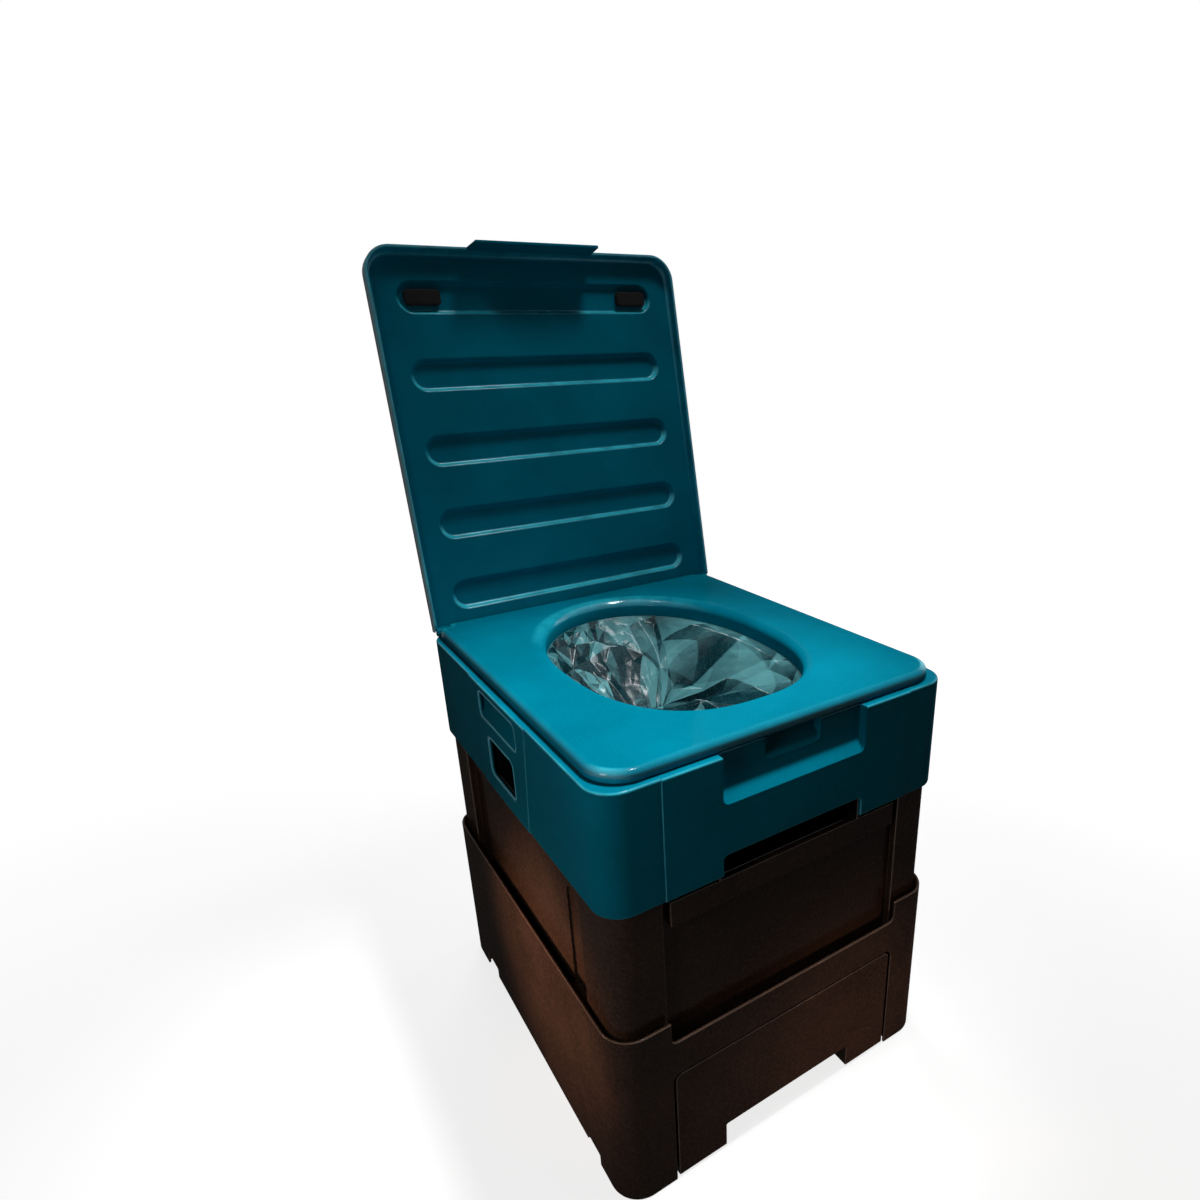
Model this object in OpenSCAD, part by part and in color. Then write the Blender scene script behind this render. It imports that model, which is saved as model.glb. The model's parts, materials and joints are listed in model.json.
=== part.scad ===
// Waterless sealing toilet: a base with a drawer, a lift-off unit that seals a film liner, a seat and a lid.
// Origin on the floor under the middle of the case, front towards -Y, right towards +X, millimetres.

/* [Case] */
// Width of the upper case
case_w = 385; // [365:1:415]
// Depth of the upper case
case_d = 432; // [415:1:460]
// Height of the upper case
case_h = 116; // [112:1:130]
// Height of the case's lower edge above the floor
case_z = 326; // [320:1:345]
// Corner radius of the case seen from above
case_r = 27; // [20:1:36]
// Wall of the case
case_wall = 3; // [2.5:0.1:3.6]
// Width of the rim that turns inwards at the top of the case
rim_w = 17.5; // [15:0.5:18]
// How far the middle panels stand proud
panel_proud = 1; // [0.5:0.1:1.8]
// Width of the raised panel on the front
front_panel_w = 275; // [200:1:300]
// Width of the raised side panels at the rim
side_panel_top = 150; // [130:1:180]
// Width of the raised side panels at the lower edge
side_panel_bottom = 120; // [100:1:150]

/* [Case openings] */
// Width of the recess for the lid's tab
recess_w = 160; // [150:1:180]
// Depth of that recess from the panel's face
recess_d = 8; // [7:0.5:9]
// Height of the recess at the face
recess_h = 45.5; // [42:0.5:48]
// Rise of the recess's bottom from its face to its back
recess_rise = 10; // [6:0.5:12]
// Width of the finger notch behind the recess
notch_w = 62; // [40:1:80]
// Height of the finger notch
notch_h = 22; // [16:0.5:24]
// Depth of the finger notch behind the recess
notch_d = 8; // [5:0.5:8]
// Width of the hand opening under the front
hand_w = 159; // [130:1:180]
// Height of the hand opening in the case's front wall
hand_h = 20.5; // [16:0.5:21]
// Width of the grip scoops in the sides
scoop_w = 102; // [80:1:116]
// Height of the grip scoops
scoop_h = 32; // [24:1:34]
// Depth of the scoops at their top
scoop_d = 12; // [8:0.5:12]
// Distance of the scoops below the rim
scoop_drop = 6; // [5:0.5:8]
// Width of the port in the left side
port_w = 70; // [60:1:74]
// Height of the port
port_h = 45; // [38:1:46]
// Height of the port's lower edge above the case's
port_rise = 19; // [18.5:0.5:22]

/* [Body] */
// How far the body stands inside the case's outline
body_inset = 5; // [5:0.5:8]
// Corner radius of the body
body_r = 22; // [18:1:24]
// Wall of the body
body_wall = 4; // [3:0.5:5]
// Height of the body's lower edge above the floor
body_z = 150; // [146:1:156]
// Width of the recessed panel on front and back
front_recess_w = 276; // [240:1:290]
// Depth of the front and back panels' recess
front_recess_d = 6.5; // [4:0.5:8]
// Length of the recessed panel on each side
side_recess_w = 300; // [290:1:320]
// Depth of the side panels' recess
side_recess_d = 5; // [3:0.5:6]
// Width of each slot in the sides
slot_w = 37; // [30:1:40]
// Depth of each slot from the body's outline
slot_d = 8; // [7:0.5:9]
// Distance of the slots' middles from the body's middle
slot_y = 131.5; // [120:0.5:131.5]
// Height of the slots' tops above the floor
slot_top = 300; // [260:1:310]
// Height of the band on the front
band_h = 25; // [18:1:30]
// Width of the band
band_w = 262; // [240:1:268]

/* [Base] */
// How far the base reaches beyond the case's outline
base_over = 2; // [1.5:0.5:4]
// Height of the base's rim
base_h = 196.5; // [185:0.5:210]
// Corner radius of the base
base_r = 30; // [24:1:38]
// Wall of the base
base_wall = 3; // [2.5:0.1:3.4]
// Height of the lowered part of the front rim
front_rim_z = 172.3; // [150:0.1:185]
// Width of the lowered rim and of the drawer's opening
front_gap_w = 277; // [272:1:282]
// Height of the drawer's opening
drawer_open_h = 134.5; // [126:0.5:140]
// Height of the floor plate's underside
floor_z = 6.5; // [4:0.5:8]
// Thickness of the floor plate
floor_t = 3; // [2:0.5:4]
// Width of the skid pan under the floor
pan_w = 240; // [180:1:260]
// Length of the skid pan
pan_d = 300; // [240:1:320]
// Side of the four posts that carry the body
post_w = 20; // [14:1:22]
// Height of the guide ribs' tops
rib_top = 188; // [160:1:194]

/* [Drawer] */
// Gap round the drawer's front
drawer_gap = 2.5; // [1.5:0.1:3]
// Thickness of the drawer's front
front_t = 3.5; // [3:0.1:5]
// Depth of the drawer's hollow front from its face
front_depth = 27; // [24:1:34]
// Width of the drawer's finger notch
grip_w = 160; // [120:1:180]
// Height of the finger notch above the floor
grip_top = 30; // [24:1:40]
// Distance of the tub's sides inside the drawer's opening
tub_side = 9.5; // [8:0.5:18]
// Height of the tub
tub_h = 112; // [90:1:114]
// Wall of the tub
tub_wall = 2.5; // [2:0.1:4]
// Distance from the tub's back to the base's back wall
tub_back_gap = 32; // [30:1:60]

/* [Seat] */
// Distance of the seat's sides inside the case's
seat_side_in = 7; // [6.8:0.1:9]
// Distance of the seat's front edge inside the case's
seat_front_in = 5.5; // [5.3:0.1:8]
// Distance of the seat's back edge inside the case's
seat_back_in = 6.5; // [6:0.1:8]
// Thickness of the seat's edge
seat_h = 10.5; // [10:0.1:10.6]
// Gap between the seat and the rim
seat_gap = 1.5; // [1.2:0.1:1.8]
// Radius of the seat's front corners
seat_r = 34; // [26:1:40]
// Radius of the seat's back corners
seat_back_r = 12; // [8:1:16]
// Rounding of the seat's upper edge
seat_edge = 4; // [3.6:0.1:4.5]
// Wall of the seat
seat_wall = 3; // [2:0.1:3.4]
// Width of the seat beside the opening
lip_side = 55.5; // [53.5:0.5:65.5]
// Mean width of the seat before and behind the opening
lip_end = 33.5; // [33:0.5:45]
// How far the rolled lip turns inwards
lip_roll = 13.5; // [10:0.5:15]
// Distance of the opening's middle behind the seat's middle
bowl_shift = 7; // [4:0.5:8]
// Squareness of the opening's front half
lip_n_front = 2.55; // [2:0.05:3]
// Squareness of the opening's back half
lip_n_back = 2.05; // [2:0.05:2.4]
// Distance of the seat's hinge behind the case's back
hinge_back = 6; // [6:0.5:9]
// Depth of the seat's hinge below the rim
hinge_drop = 4; // [4:0.5:5]
// Radius of the seat's hinge barrels
barrel_r = 5.5; // [5:0.1:6]
// Radius of the seat's hinge pins
seat_pin_r = 2.5; // [2:0.1:3]
// Width of each hinge arm
arm_w = 28; // [20:1:32]
// Distance of the hinge arms' middles from the middle
arm_x = 112; // [100:1:118]

/* [Lid] */
// Distance of the lid's sides inside the case's
lid_side_in = 2.5; // [2:0.1:4]
// Distance of the closed lid's front inside the case's
lid_front_in = 1.4; // [1:0.1:1.6]
// Depth of the lid's skirt
lid_lip = 13.4; // [13:0.1:15]
// Wall of the lid's skirt
lid_wall = 3.2; // [2.5:0.1:3.3]
// Thickness of the lid's panel
lid_t = 3; // [2:0.1:4]
// Radius of the lid's far corners
lid_r = 30; // [22:1:36]
// Angle by which the open lid leans back
lid_lean = 10.6; // [5:0.1:14]
// Number of channels in the lid
channel_count = 5; // [3:1:5]
// Pitch of the channels
channel_pitch = 83; // [70:1:84]
// Distance of the first channel from the lid's hinge end
channel_first = 38; // [34:1:40]
// Length of a channel
channel_len = 318; // [260:1:330]
// Width of a channel
channel_w = 34; // [26:1:36]
// Depth of a channel
channel_depth = 6; // [4:0.5:6.5]
// Length of a bumper
bumper_len = 40; // [30:1:46]
// Width of a bumper
bumper_w = 17; // [12:1:22]
// Distance of the bumpers' middles from the middle
bumper_x = 131; // [126:1:134]
// Half the width of the tab where it leaves the lid
tab_half = 77; // [60:0.5:77]
// Half the width of the tab's end
tab_end_half = 74.5; // [56:0.5:75]
// Reach of the tab beyond the lid's panel
tab_reach = 40; // [30:0.5:42]
// Thickness of the tab
tab_t = 3.4; // [2.6:0.1:3.6]
// Radius of the lid's knuckles
knuckle_r = 5; // [4.5:0.1:5]
// Radius of the lid's hinge pins
lid_pin_r = 2; // [1.5:0.1:2.2]

/* [Liner] */
// Thickness of the film's solid
film_t = 0.8; // [0.6:0.1:1.2]
// Distance of the closed neck behind the opening's middle
neck_shift = 51.5; // [40:0.5:56]
// Height of the neck's top above the deck
neck_rise = 7; // [5:0.5:16]
// Half the width of the neck
neck_a = 28; // [20:1:36]
// Thickness of the film bunched in the neck
neck_t = 3; // [2:0.1:4]
// Depth of the film's main folds
fold_d = 4; // [0:0.5:6]
// Number of main folds
fold_count = 9; // [5:1:13]
// Height of the cassette tray
tray_h = 25; // [18:1:26]
// Depth of the cassette's top below the case's rim
cassette_drop = 10.5; // [10:0.5:14]

/* [Seal] */
// Length of the jaws
jaw_len = 244; // [236:1:248]
// Height of the jaws
jaw_h = 36; // [34:1:38]
// Thickness of a jaw
jaw_t = 20; // [16:1:24]
// Travel of each jaw
jaw_travel = 42; // [30:1:44]
// Radius of the guide rods
rod_r = 5; // [4:0.1:5.5]
// Distance of the guide rods from the middle
rod_x = 108; // [106:1:110]
// Radius of the spindles
spindle_r = 4; // [3:0.1:4.5]
// Distance of the spindles from the middle
spindle_x = 88; // [84:1:90]
// Radius of the belt pulleys
pulley_r = 9; // [7:0.1:11]
// Radius of the gearmotor
motor_r = 18; // [14:0.5:20]
// Length of the gearmotor
motor_len = 76; // [60:1:90]
// Thickness of the seal frame's plates
frame_t = 4; // [3:0.5:5]
// Width of the chute
chute_w = 200; // [160:1:220]
// Depth of the chute from front to back
chute_d = 130; // [110:1:140]
// Height of the chute's lower edge above the body's
chute_rise = 10; // [6:1:20]

/* [Hidden] */
$fn = 64;
run_gap = 0.05;
slip_gap = 0.02;
seat_clear = 0.3;

rim_z = case_z + case_h;
case_x = case_w / 2;
case_y = case_d / 2;
panel_y = case_y + panel_proud;
inner_x = case_x - case_wall;
inner_y = case_y - case_wall;
scoop_pad = 3.5;
recess_pad = 3;
port_r = 9;
port_z = [case_z + port_rise, case_z + port_rise + port_h];
notch_edge_r = 6;

body_x = case_x - body_inset;
body_y = case_y - body_inset;
body_front = body_y - front_recess_d;
body_side = body_x - side_recess_d;
flange_w = 16;
flange_t = 4;
deck_rise = 14;
deck_z = case_z + deck_rise;
deck_t = 4;
deck_top = deck_z + deck_t;
band_drop = 32;
band_z = case_z - band_drop;
band_top = band_z + band_h;
band_out = 0.3;
pocket_wall = 2.5;
pocket_d = 24.5;
pocket_top = case_z + hand_h;

base_x = case_x + base_over;
base_y = case_y + base_over;
base_in_x = base_x - base_wall;
base_in_y = base_y - base_wall;
floor_top = floor_z + floor_t;
rib_gap = 0.5;
face_in = 0.7;
drawer_face = -base_y + face_in;
drawer_back = drawer_face + front_depth;
drawer_bottom = 2.5;
drawer_top = drawer_open_h - drawer_gap;
drawer_half = front_gap_w / 2 - drawer_gap;
tub_z = floor_top + seat_clear;
tub_x = front_gap_w / 2 - tub_side;
tub_y = [drawer_back, base_in_y - tub_back_gap];
tub_top = tub_z + tub_h;
tub_lip = 5.5;
rail_t = 3;
rail_gap = 2.5;
rail_foot = 12;
rail_start = 6;

seat_x = case_x - seat_side_in;
seat_front = -case_y + seat_front_in;
seat_back = case_y - seat_back_in;
seat_z = rim_z + seat_gap;
seat_top = seat_z + seat_h;
seat_mid = (seat_front + seat_back) / 2;
lip_a = seat_x - lip_side;
lip_b = (seat_back - seat_front) / 2 - lip_end;
bowl_y = seat_mid + bowl_shift;
inner_a = lip_a - lip_roll;
inner_b = lip_b - lip_roll;
roll_h = 10;
hinge_y = case_y + hinge_back;
hinge_z = rim_z - hinge_drop;
arm_gap = 2;
arm_t = 5.5;
arm_root = 19;
ear_t = 6.7;
ear_r = 7;
bracket_t = 2.5;
bracket_h = 23;
screw_r = 2;
screw_head_r = 3.6;
screw_head_t = 2.2;
bracket_mid = hinge_z - barrel_r - 1.5 - bracket_h / 2;
deck_screw_x = body_x - body_wall - 10;
deck_screw_y = body_y - body_wall - 12;

lid_axis_in = 5.5;
lid_axis_up = 4.1;
lid_axis_y = seat_back - lid_axis_in;
lid_axis_z = seat_z + lid_axis_up;
lid_x = case_x - lid_side_in;
lid_plane_z = rim_z + seat_clear + lid_lip;
lid_offset = lid_plane_z - lid_axis_z;
lid_axis_u = 1.4;
lid_front_y = -case_y + lid_front_in;
lid_len = lid_axis_y + lid_axis_u - lid_front_y;
lid_near_r = 3;
tab_clear = 0.5;
tab_u = lid_axis_y + lid_axis_u - seat_front + tab_clear;
pad_wall = 2.7;
ear_in = 12.5;
ear_x = seat_x - ear_in;
bumper_tip = lid_plane_z - seat_top - seat_clear;
bumper_u = channel_first + (channel_count - 1) * channel_pitch;
boss_len = 21.5;

cover_t = 2.5;
flange_film = 0.6;
cover_top = rim_z - cassette_drop;
tray_top = cover_top - cover_t;
tray_z = tray_top - tray_h;
shelf_t = 4;
shelf_z = tray_z - shelf_t;
tray_in = [5, 4.5];
tray_x = case_x - rim_w - tray_in.x;
tray_y = case_y - rim_w - tray_in.y;
tray_r = 20;
tray_wall = 2;
hole_out = [3.5, 4];
cover_in = 0.5;
hole_a = inner_a + hole_out.x;
hole_b = inner_b + hole_out.y;
cover_a = inner_a - cover_in;
cover_b = inner_b;
film_gap = 0.5;
film_a = cover_a - film_gap;
film_b = cover_b - film_gap;
shelf_out = [5, 2];
shelf_x = tray_x + shelf_out.x;
shelf_y = tray_y + shelf_out.y;
neck_y = bowl_y + neck_shift;
neck_top = deck_top + neck_rise;
neck_n = 4;
collar_z = cover_top + flange_film + seat_clear;

jaw_drop = 4;
jaw_z = [deck_z - jaw_drop - jaw_h, deck_z - jaw_drop];
jaw_meet = neck_t / 2 + seat_clear;
insert_half = 70;
insert_h = 8;
insert_d = 3;
rod_in = 10;
spindle_in = 10;
frame_room = [39, 38];
frame_side = 4;
frame_drop = 10;
rod_z = jaw_z[1] - rod_in;
spindle_z = jaw_z[0] + spindle_in;
jaw_space = jaw_meet + jaw_t + jaw_travel;
frame_reach = [neck_y - jaw_space - frame_room[0], neck_y + jaw_space + frame_room[1]];
frame_x = jaw_len / 2 + frame_side;
frame_z = jaw_z[0] - frame_drop;
bush_r = 7;
bush_flange_r = 9;
bush_flange_t = 1.5;
pulley_gap = 3.5;
pulley_y = frame_reach[0] - frame_t - bush_flange_t - pulley_gap;
pulley_w = 10;
belt_t = 1.5;
belt_w = 9;
motor_gap = 6;
motor_y = pulley_y - pulley_w - motor_gap;
motor_plate_t = 4;
deck_hole_x = 64;
deck_hole_d = 46;
deck_hole_y = [neck_y - deck_hole_d, neck_y + deck_hole_d];
post_in = [13, 22];
post_side = 14;
post_x = [tray_x - post_in.x - post_side, tray_x - post_in.x];
post_y = [tray_y - post_in.y - post_side, tray_y - post_in.y];
chute_y = [neck_y - chute_d / 2, neck_y + chute_d / 2];
chute_wall = 2.5;

bay_reach = 41.5;
bay_side = 5;
bay_over = 3;
bay_x = [-inner_x + seat_clear, -inner_x + bay_reach];
bay_half = port_w / 2 + bay_side;
bay_wall = 2.5;
bay_top = port_z[1] + bay_over;
control_y = 12;
control_z = (port_z[0] + port_z[1]) / 2;
button_r = 5;
button_len = 9;
button_proud = 4;
collar_t = 1;
button_end = [bay_x[1] - bay_wall - button_proud, bay_x[1] - bay_wall - button_proud + button_len];
spring_r = 3.4;
spring_len = 8;
spring_x = button_end[1] + seat_clear;
socket_y = -14;
socket_r = 6;
box_w = 88;
box_d = 74;
box_gap = 5;
box_front = 42;
box_x = [post_x[0] - box_gap - box_w, post_x[0] - box_gap];
box_y = [-case_y + box_front, -case_y + box_front + box_d];
box_slot = [14, 16];
box_slot_z = [6, 8];
chip_in = [14, 20];
chip_w = 24;
chip_t = 3.4;
relay_in = [14, 30];
relay_w = 24;
relay_d = 14;
relay_t = 9.4;
box_h = 28;
box_wall = 2;
board_gap = 4;
board_t = 1.6;
standoff_h = 3;
standoff_r = 2;

edge_steps = 4;
roll_steps = 5;
corner_steps = 8;
side_steps = 11;
oval_count = 96;
film_count = 72;
film_rings = 8;

teal = [0.0, 0.53, 0.62];
dark = [0.10, 0.085, 0.08];
black = [0.03, 0.03, 0.035];
steel = [0.72, 0.73, 0.75];
grey = [0.45, 0.47, 0.5];

// A box between two limits on each axis
module span(x, y, z) {
  translate([x[0], y[0], z[0]])
    cube([x[1] - x[0], y[1] - y[0], z[1] - z[0]]);
}

// A shape and its mirror image left to right
module both_x() {
  children();
  mirror([1, 0, 0])
    children();
}

// A shape and its mirror image front to back
module both_y() {
  children();
  mirror([0, 1, 0])
    children();
}

// A rectangle with round corners, centred
module rrect(w, d, r) {
  square([w - 2 * r, d], center = true);
  square([w, d - 2 * r], center = true);
  for (x = [-1, 1], y = [-1, 1])
    translate([x * (w / 2 - r), y * (d / 2 - r)])
      circle(r);
}

// A round-cornered block between two heights
module slab(w, d, r, z) {
  translate([0, 0, z[0]])
    linear_extrude(z[1] - z[0])
      rrect(w, d, r);
}

// A rod along X between two places
module rod_along_x(r, x, y, z) {
  translate([x[0], y, z])
    rotate([0, 90, 0])
      cylinder(r = r, h = x[1] - x[0]);
}

// A rod along Y between two places
module rod_along_y(r, x, y, z) {
  translate([x, y[0], z])
    rotate([-90, 0, 0])
      cylinder(r = r, h = y[1] - y[0]);
}

// Points of the bowl's oval, squarer at the front than at the back
function oval(a, b, count = oval_count) = [
  for (i = [0:count - 1])
    let (t = 360 * i / count, n = sin(t) < 0 ? lip_n_front : lip_n_back)
    [a * sign(cos(t)) * pow(abs(cos(t)), 2 / n), bowl_y + b * sign(sin(t)) * pow(abs(sin(t)), 2 / n)]
];

// A plate with the oval's outline between two heights
module oval_slab(a, b, z) {
  translate([0, 0, z[0]])
    linear_extrude(z[1] - z[0])
      polygon(oval(a, b));
}

// Triangles that join a chain of loops with the same number of points
function band(loops, count, closed) = [
  for (k = [0:loops - (closed ? 1 : 2)], i = [0:count - 1])
    let (
      a = k * count + i,
      b = k * count + (i + 1) % count,
      c = ((k + 1) % loops) * count + (i + 1) % count,
      d = ((k + 1) % loops) * count + i
    )
    each [[a, b, c], [a, c, d]]
];

function lerp(a, b, t) = a + (b - a) * t;

module base_shell() {
  color(dark)
    difference() {
      union() {
        difference() {
          slab(2 * base_x, 2 * base_y, base_r, [0, base_h]);
          slab(2 * base_in_x, 2 * base_in_y, base_r - base_wall, [floor_top, base_h + 1]);
          slab(2 * base_in_x, 2 * base_in_y, base_r - base_wall, [-1, floor_z]);
        }
        span([-pan_w / 2, pan_w / 2], [-pan_d / 2, pan_d / 2], [0, floor_top]);
        both_x()
          both_y() {
            span([base_in_x - 6.5 - post_w, base_in_x - 6.5], [base_in_y - 10 - post_w, base_in_y - 10],
              [floor_top - 1, body_z - seat_clear]);
            span([body_x - slot_d + rib_gap, base_in_x + 1],
              [slot_y - slot_w / 2 + 2 * rib_gap, slot_y + slot_w / 2 - 2 * rib_gap], [floor_top - 1, rib_top]);
            span([base_x - 25, base_x - 12], [base_y - 28, base_y - 12], [0, floor_top]);
          }
      }
      lowered_rim();
      drawer_mouth();
      base_undercuts();
    }
}

// Cut that lowers the rim at the front
module lowered_rim() {
  corner = 6;
  half = front_gap_w / 2;
  span([-half, half], [-base_y - 1, -base_in_y + 1], [front_rim_z + corner, base_h + 1]);
  span([-half + corner, half - corner], [-base_y - 1, -base_in_y + 1], [front_rim_z, base_h + 1]);
  for (x = [-1, 1])
    rod_along_y(corner, x * (half - corner), [-base_y - 1, -base_in_y + 1], front_rim_z + corner);
}

// Opening for the drawer, through the front wall and the front of the floor
module drawer_mouth() {
  corner = 9.5;
  half = front_gap_w / 2;
  span([-half, half], [-base_y - 1, drawer_back + 0.6], [-1, drawer_open_h - corner]);
  span([-half + corner, half - corner], [-base_y - 1, drawer_back + 0.6], [-1, drawer_open_h]);
  for (x = [-1, 1])
    rod_along_y(corner, x * (half - corner), [-base_y - 1, drawer_back + 0.6], drawer_open_h - corner);
}

// Raised lower edges between the corner feet
module base_undercuts() {
  low = [-base_y + 55, base_y - 60];
  both_x() {
    span([pan_w / 2 + 20, base_x + 1], low, [-1, floor_z]);
    span([base_in_x - 1, base_x + 1], [low[0], low[0] + 26], [-1, 2 * floor_z]);
    span([base_in_x - 1, base_x + 1], [low[1] - 37, low[1] - 2], [-1, 3 * floor_z]);
  }
  span([-pan_w / 2 - 20, pan_w / 2 + 20], [pan_d / 2 + 20, base_y + 1], [-1, floor_z]);
}

module drawer_front() {
  corner = 7;
  color(dark)
    difference() {
      drawer_outline(corner, 0, [drawer_face, drawer_back]);
      drawer_outline(corner - front_t, front_t, [drawer_face + front_t, drawer_back + 1]);
      span([-grip_w / 2, grip_w / 2], [drawer_face - 1, drawer_back + 1], [drawer_bottom - 1, grip_top]);
    }
  color(dark)
    difference() {
      span([-grip_w / 2 - front_t, grip_w / 2 + front_t], [drawer_face + front_t - 1, drawer_back],
        [drawer_bottom, grip_top + front_t]);
      span([-grip_w / 2, grip_w / 2], [drawer_face - 1, drawer_back + 1], [drawer_bottom - 1, grip_top]);
    }
}

// Block with the drawer front's outline, drawn in by an inset
module drawer_outline(corner, inset, y) {
  half = drawer_half - inset;
  top = drawer_top - inset;
  span([-half, half], y, [drawer_bottom + inset, top - corner]);
  span([-half + corner, half - corner], y, [drawer_bottom + inset, top]);
  for (x = [-1, 1])
    rod_along_y(corner, x * (half - corner), y, top - corner);
}

module drawer_tub() {
  color(grey)
    difference() {
      union() {
        span([-tub_x, tub_x], tub_y, [tub_z, tub_top]);
        span([-tub_x - tub_lip, tub_x + tub_lip], [tub_y[0], tub_y[1]], [tub_top - tub_wall, tub_top]);
      }
      span([-tub_x + tub_wall, tub_x - tub_wall], [tub_y[0] + tub_wall, tub_y[1] - tub_wall],
        [tub_z + tub_wall, tub_top + 1]);
    }
}

// Rails on the base's floor that carry the tub's lips
module drawer_runners() {
  rail_x = tub_x + rail_gap;
  color(steel)
    both_x() {
      span([rail_x, rail_x + rail_t], [tub_y[0] + rail_start, tub_y[1]], [floor_top, tub_top - tub_wall - seat_clear]);
      span([rail_x + rail_t, rail_x + rail_t + rail_foot], [tub_y[0] + rail_start, tub_y[1]], [floor_top, floor_top + rail_t]);
    }
}

// Outline of the body's recessed panels, grown by a margin
module panel_zones(grow) {
  for (s = [-1, 1]) {
    translate([0, s * (body_front - grow + 50)])
      square([front_recess_w + 2 * grow, 100], center = true);
    translate([s * (body_side - grow + 50), 0])
      square([100, side_recess_w + 2 * grow], center = true);
  }
}

// One slot of the body's side, from below up to its round-cornered top
module side_slot(grow) {
  corner = 10;
  half = slot_w / 2 + grow;
  depth = [body_x - slot_d - grow, body_x + 1];
  span(depth, [slot_y - half, slot_y + half], [body_z - 1, slot_top + grow - corner]);
  span(depth, [slot_y - half + corner, slot_y + half - corner], [body_z - 1, slot_top + grow]);
  for (y = [slot_y - half + corner, slot_y + half - corner])
    rod_along_x(corner, depth, y, slot_top + grow - corner);
}

module body_shell() {
  color(dark)
    difference() {
      translate([0, 0, body_z])
        linear_extrude(deck_z - body_z)
          difference() {
            rrect(2 * body_x, 2 * body_y, body_r);
            panel_zones(0);
          }
      both_x()
        both_y()
          side_slot(0);
      difference() {
        translate([0, 0, body_z + flange_t])
          linear_extrude(deck_z - body_z)
            difference() {
              rrect(2 * (body_x - body_wall), 2 * (body_y - body_wall), body_r - body_wall);
              panel_zones(body_wall);
            }
        both_x()
          both_y()
            side_slot(body_wall);
      }
      slab(2 * (body_x - flange_w), 2 * (body_y - flange_w), body_r - flange_t, [body_z - 1, body_z + flange_t + 1]);
      span([-hand_w / 2 - pocket_wall - seat_clear, hand_w / 2 + pocket_wall + seat_clear],
        [-body_y - 1, -body_front + body_wall + 1], [band_top - pocket_wall - seat_clear, deck_z + 1]);
    }
}

module front_band() {
  color(dark)
    span([-band_w / 2, band_w / 2], [-body_y - band_out, -body_front], [band_z, band_top]);
}

// Lining of the hand recess: a box open to the front
module grip_pocket() {
  half = hand_w / 2;
  color(black)
    difference() {
      union() {
        span([-half - pocket_wall, half + pocket_wall], [-body_front, -body_front + pocket_d + pocket_wall],
          [band_top - pocket_wall, pocket_top + pocket_wall]);
        span([-half - pocket_wall, half + pocket_wall], [-inner_y + seat_clear, -body_front + 1],
          [band_top + seat_clear, pocket_top + pocket_wall]);
      }
      span([-half, half], [-case_y, -body_front + pocket_d], [band_top, pocket_top]);
    }
}

// Cut for the lid's tab and the finger notch behind it
module tab_recess() {
  corner = 7;
  back = -panel_y + recess_d;
  low = rim_z - recess_h;
  half = recess_w / 2;
  difference() {
    union() {
      span([-half, half], [-panel_y - 1, back], [low + corner, rim_z + 1]);
      span([-half + corner, half - corner], [-panel_y - 1, back], [low, rim_z + 1]);
      for (x = [-1, 1])
        rod_along_y(corner, x * (half - corner), [-panel_y - 1, back], low + corner);
    }
    translate([0, -panel_y, low])
      rotate([atan2(recess_rise, recess_d), 0, 0])
        translate([-half - 1, -20, -20])
          cube([2 * half + 2, 60, 20]);
  }
  notch_half = notch_w / 2;
  notch_z = rim_z - notch_h;
  difference() {
    union() {
      span([-notch_half, notch_half], [back - 1, back + notch_d], [notch_z + notch_edge_r, rim_z + 1]);
      span([-notch_half + notch_edge_r, notch_half - notch_edge_r], [back - 1, back + notch_d], [notch_z, rim_z + 1]);
      for (x = [-1, 1])
        rod_along_y(notch_edge_r, x * (notch_half - notch_edge_r), [back - 1, back + notch_d],
          notch_z + notch_edge_r);
    }
    translate([0, back, notch_z])
      rotate([atan2(11, 8), 0, 0])
        translate([-notch_half - 1, -20, -20])
          cube([notch_w + 2, 60, 20]);
  }
}

// Grip scoop of the right side: deep at its top, running out at its bottom
module scoop() {
  corner = 8;
  top = rim_z - scoop_drop;
  low = top - scoop_h;
  half = scoop_w / 2;
  x = [case_x - scoop_d, case_x + panel_proud + 1];
  difference() {
    union() {
      span(x, [-half, half], [low + corner, top - corner]);
      span(x, [-half + corner, half - corner], [low, top]);
      for (y = [-1, 1], z = [low + corner, top - corner])
        rod_along_x(corner, x, y * (half - corner), z);
    }
    translate([case_x + panel_proud, 0, low])
      rotate([0, atan2(scoop_h - 6, scoop_d + panel_proud), 0])
        translate([-60, -half - 1, -40])
          cube([80, 2 * half + 2, 40]);
  }
}

// Round-cornered opening of the port, grown by a margin
module port_cut(x, grow) {
  half = port_w / 2 + grow;
  z = [port_z[0] - grow, port_z[1] + grow];
  span(x, [-half + port_r, half - port_r], z);
  span(x, [-half, half], [z[0] + port_r, z[1] - port_r]);
  for (y = [-1, 1], h = [z[0] + port_r, z[1] - port_r])
    rod_along_x(port_r, x, y * (half - port_r), h);
}

// Raised panel of a side, narrower at its lower edge
module side_panel() {
  translate([inner_x + 1, 0, 0])
    rotate([90, 0, 90])
      linear_extrude(case_wall + panel_proud - 1)
        polygon([[-side_panel_bottom / 2, case_z], [side_panel_bottom / 2, case_z],
          [side_panel_top / 2, rim_z], [-side_panel_top / 2, rim_z]]);
}

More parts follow.
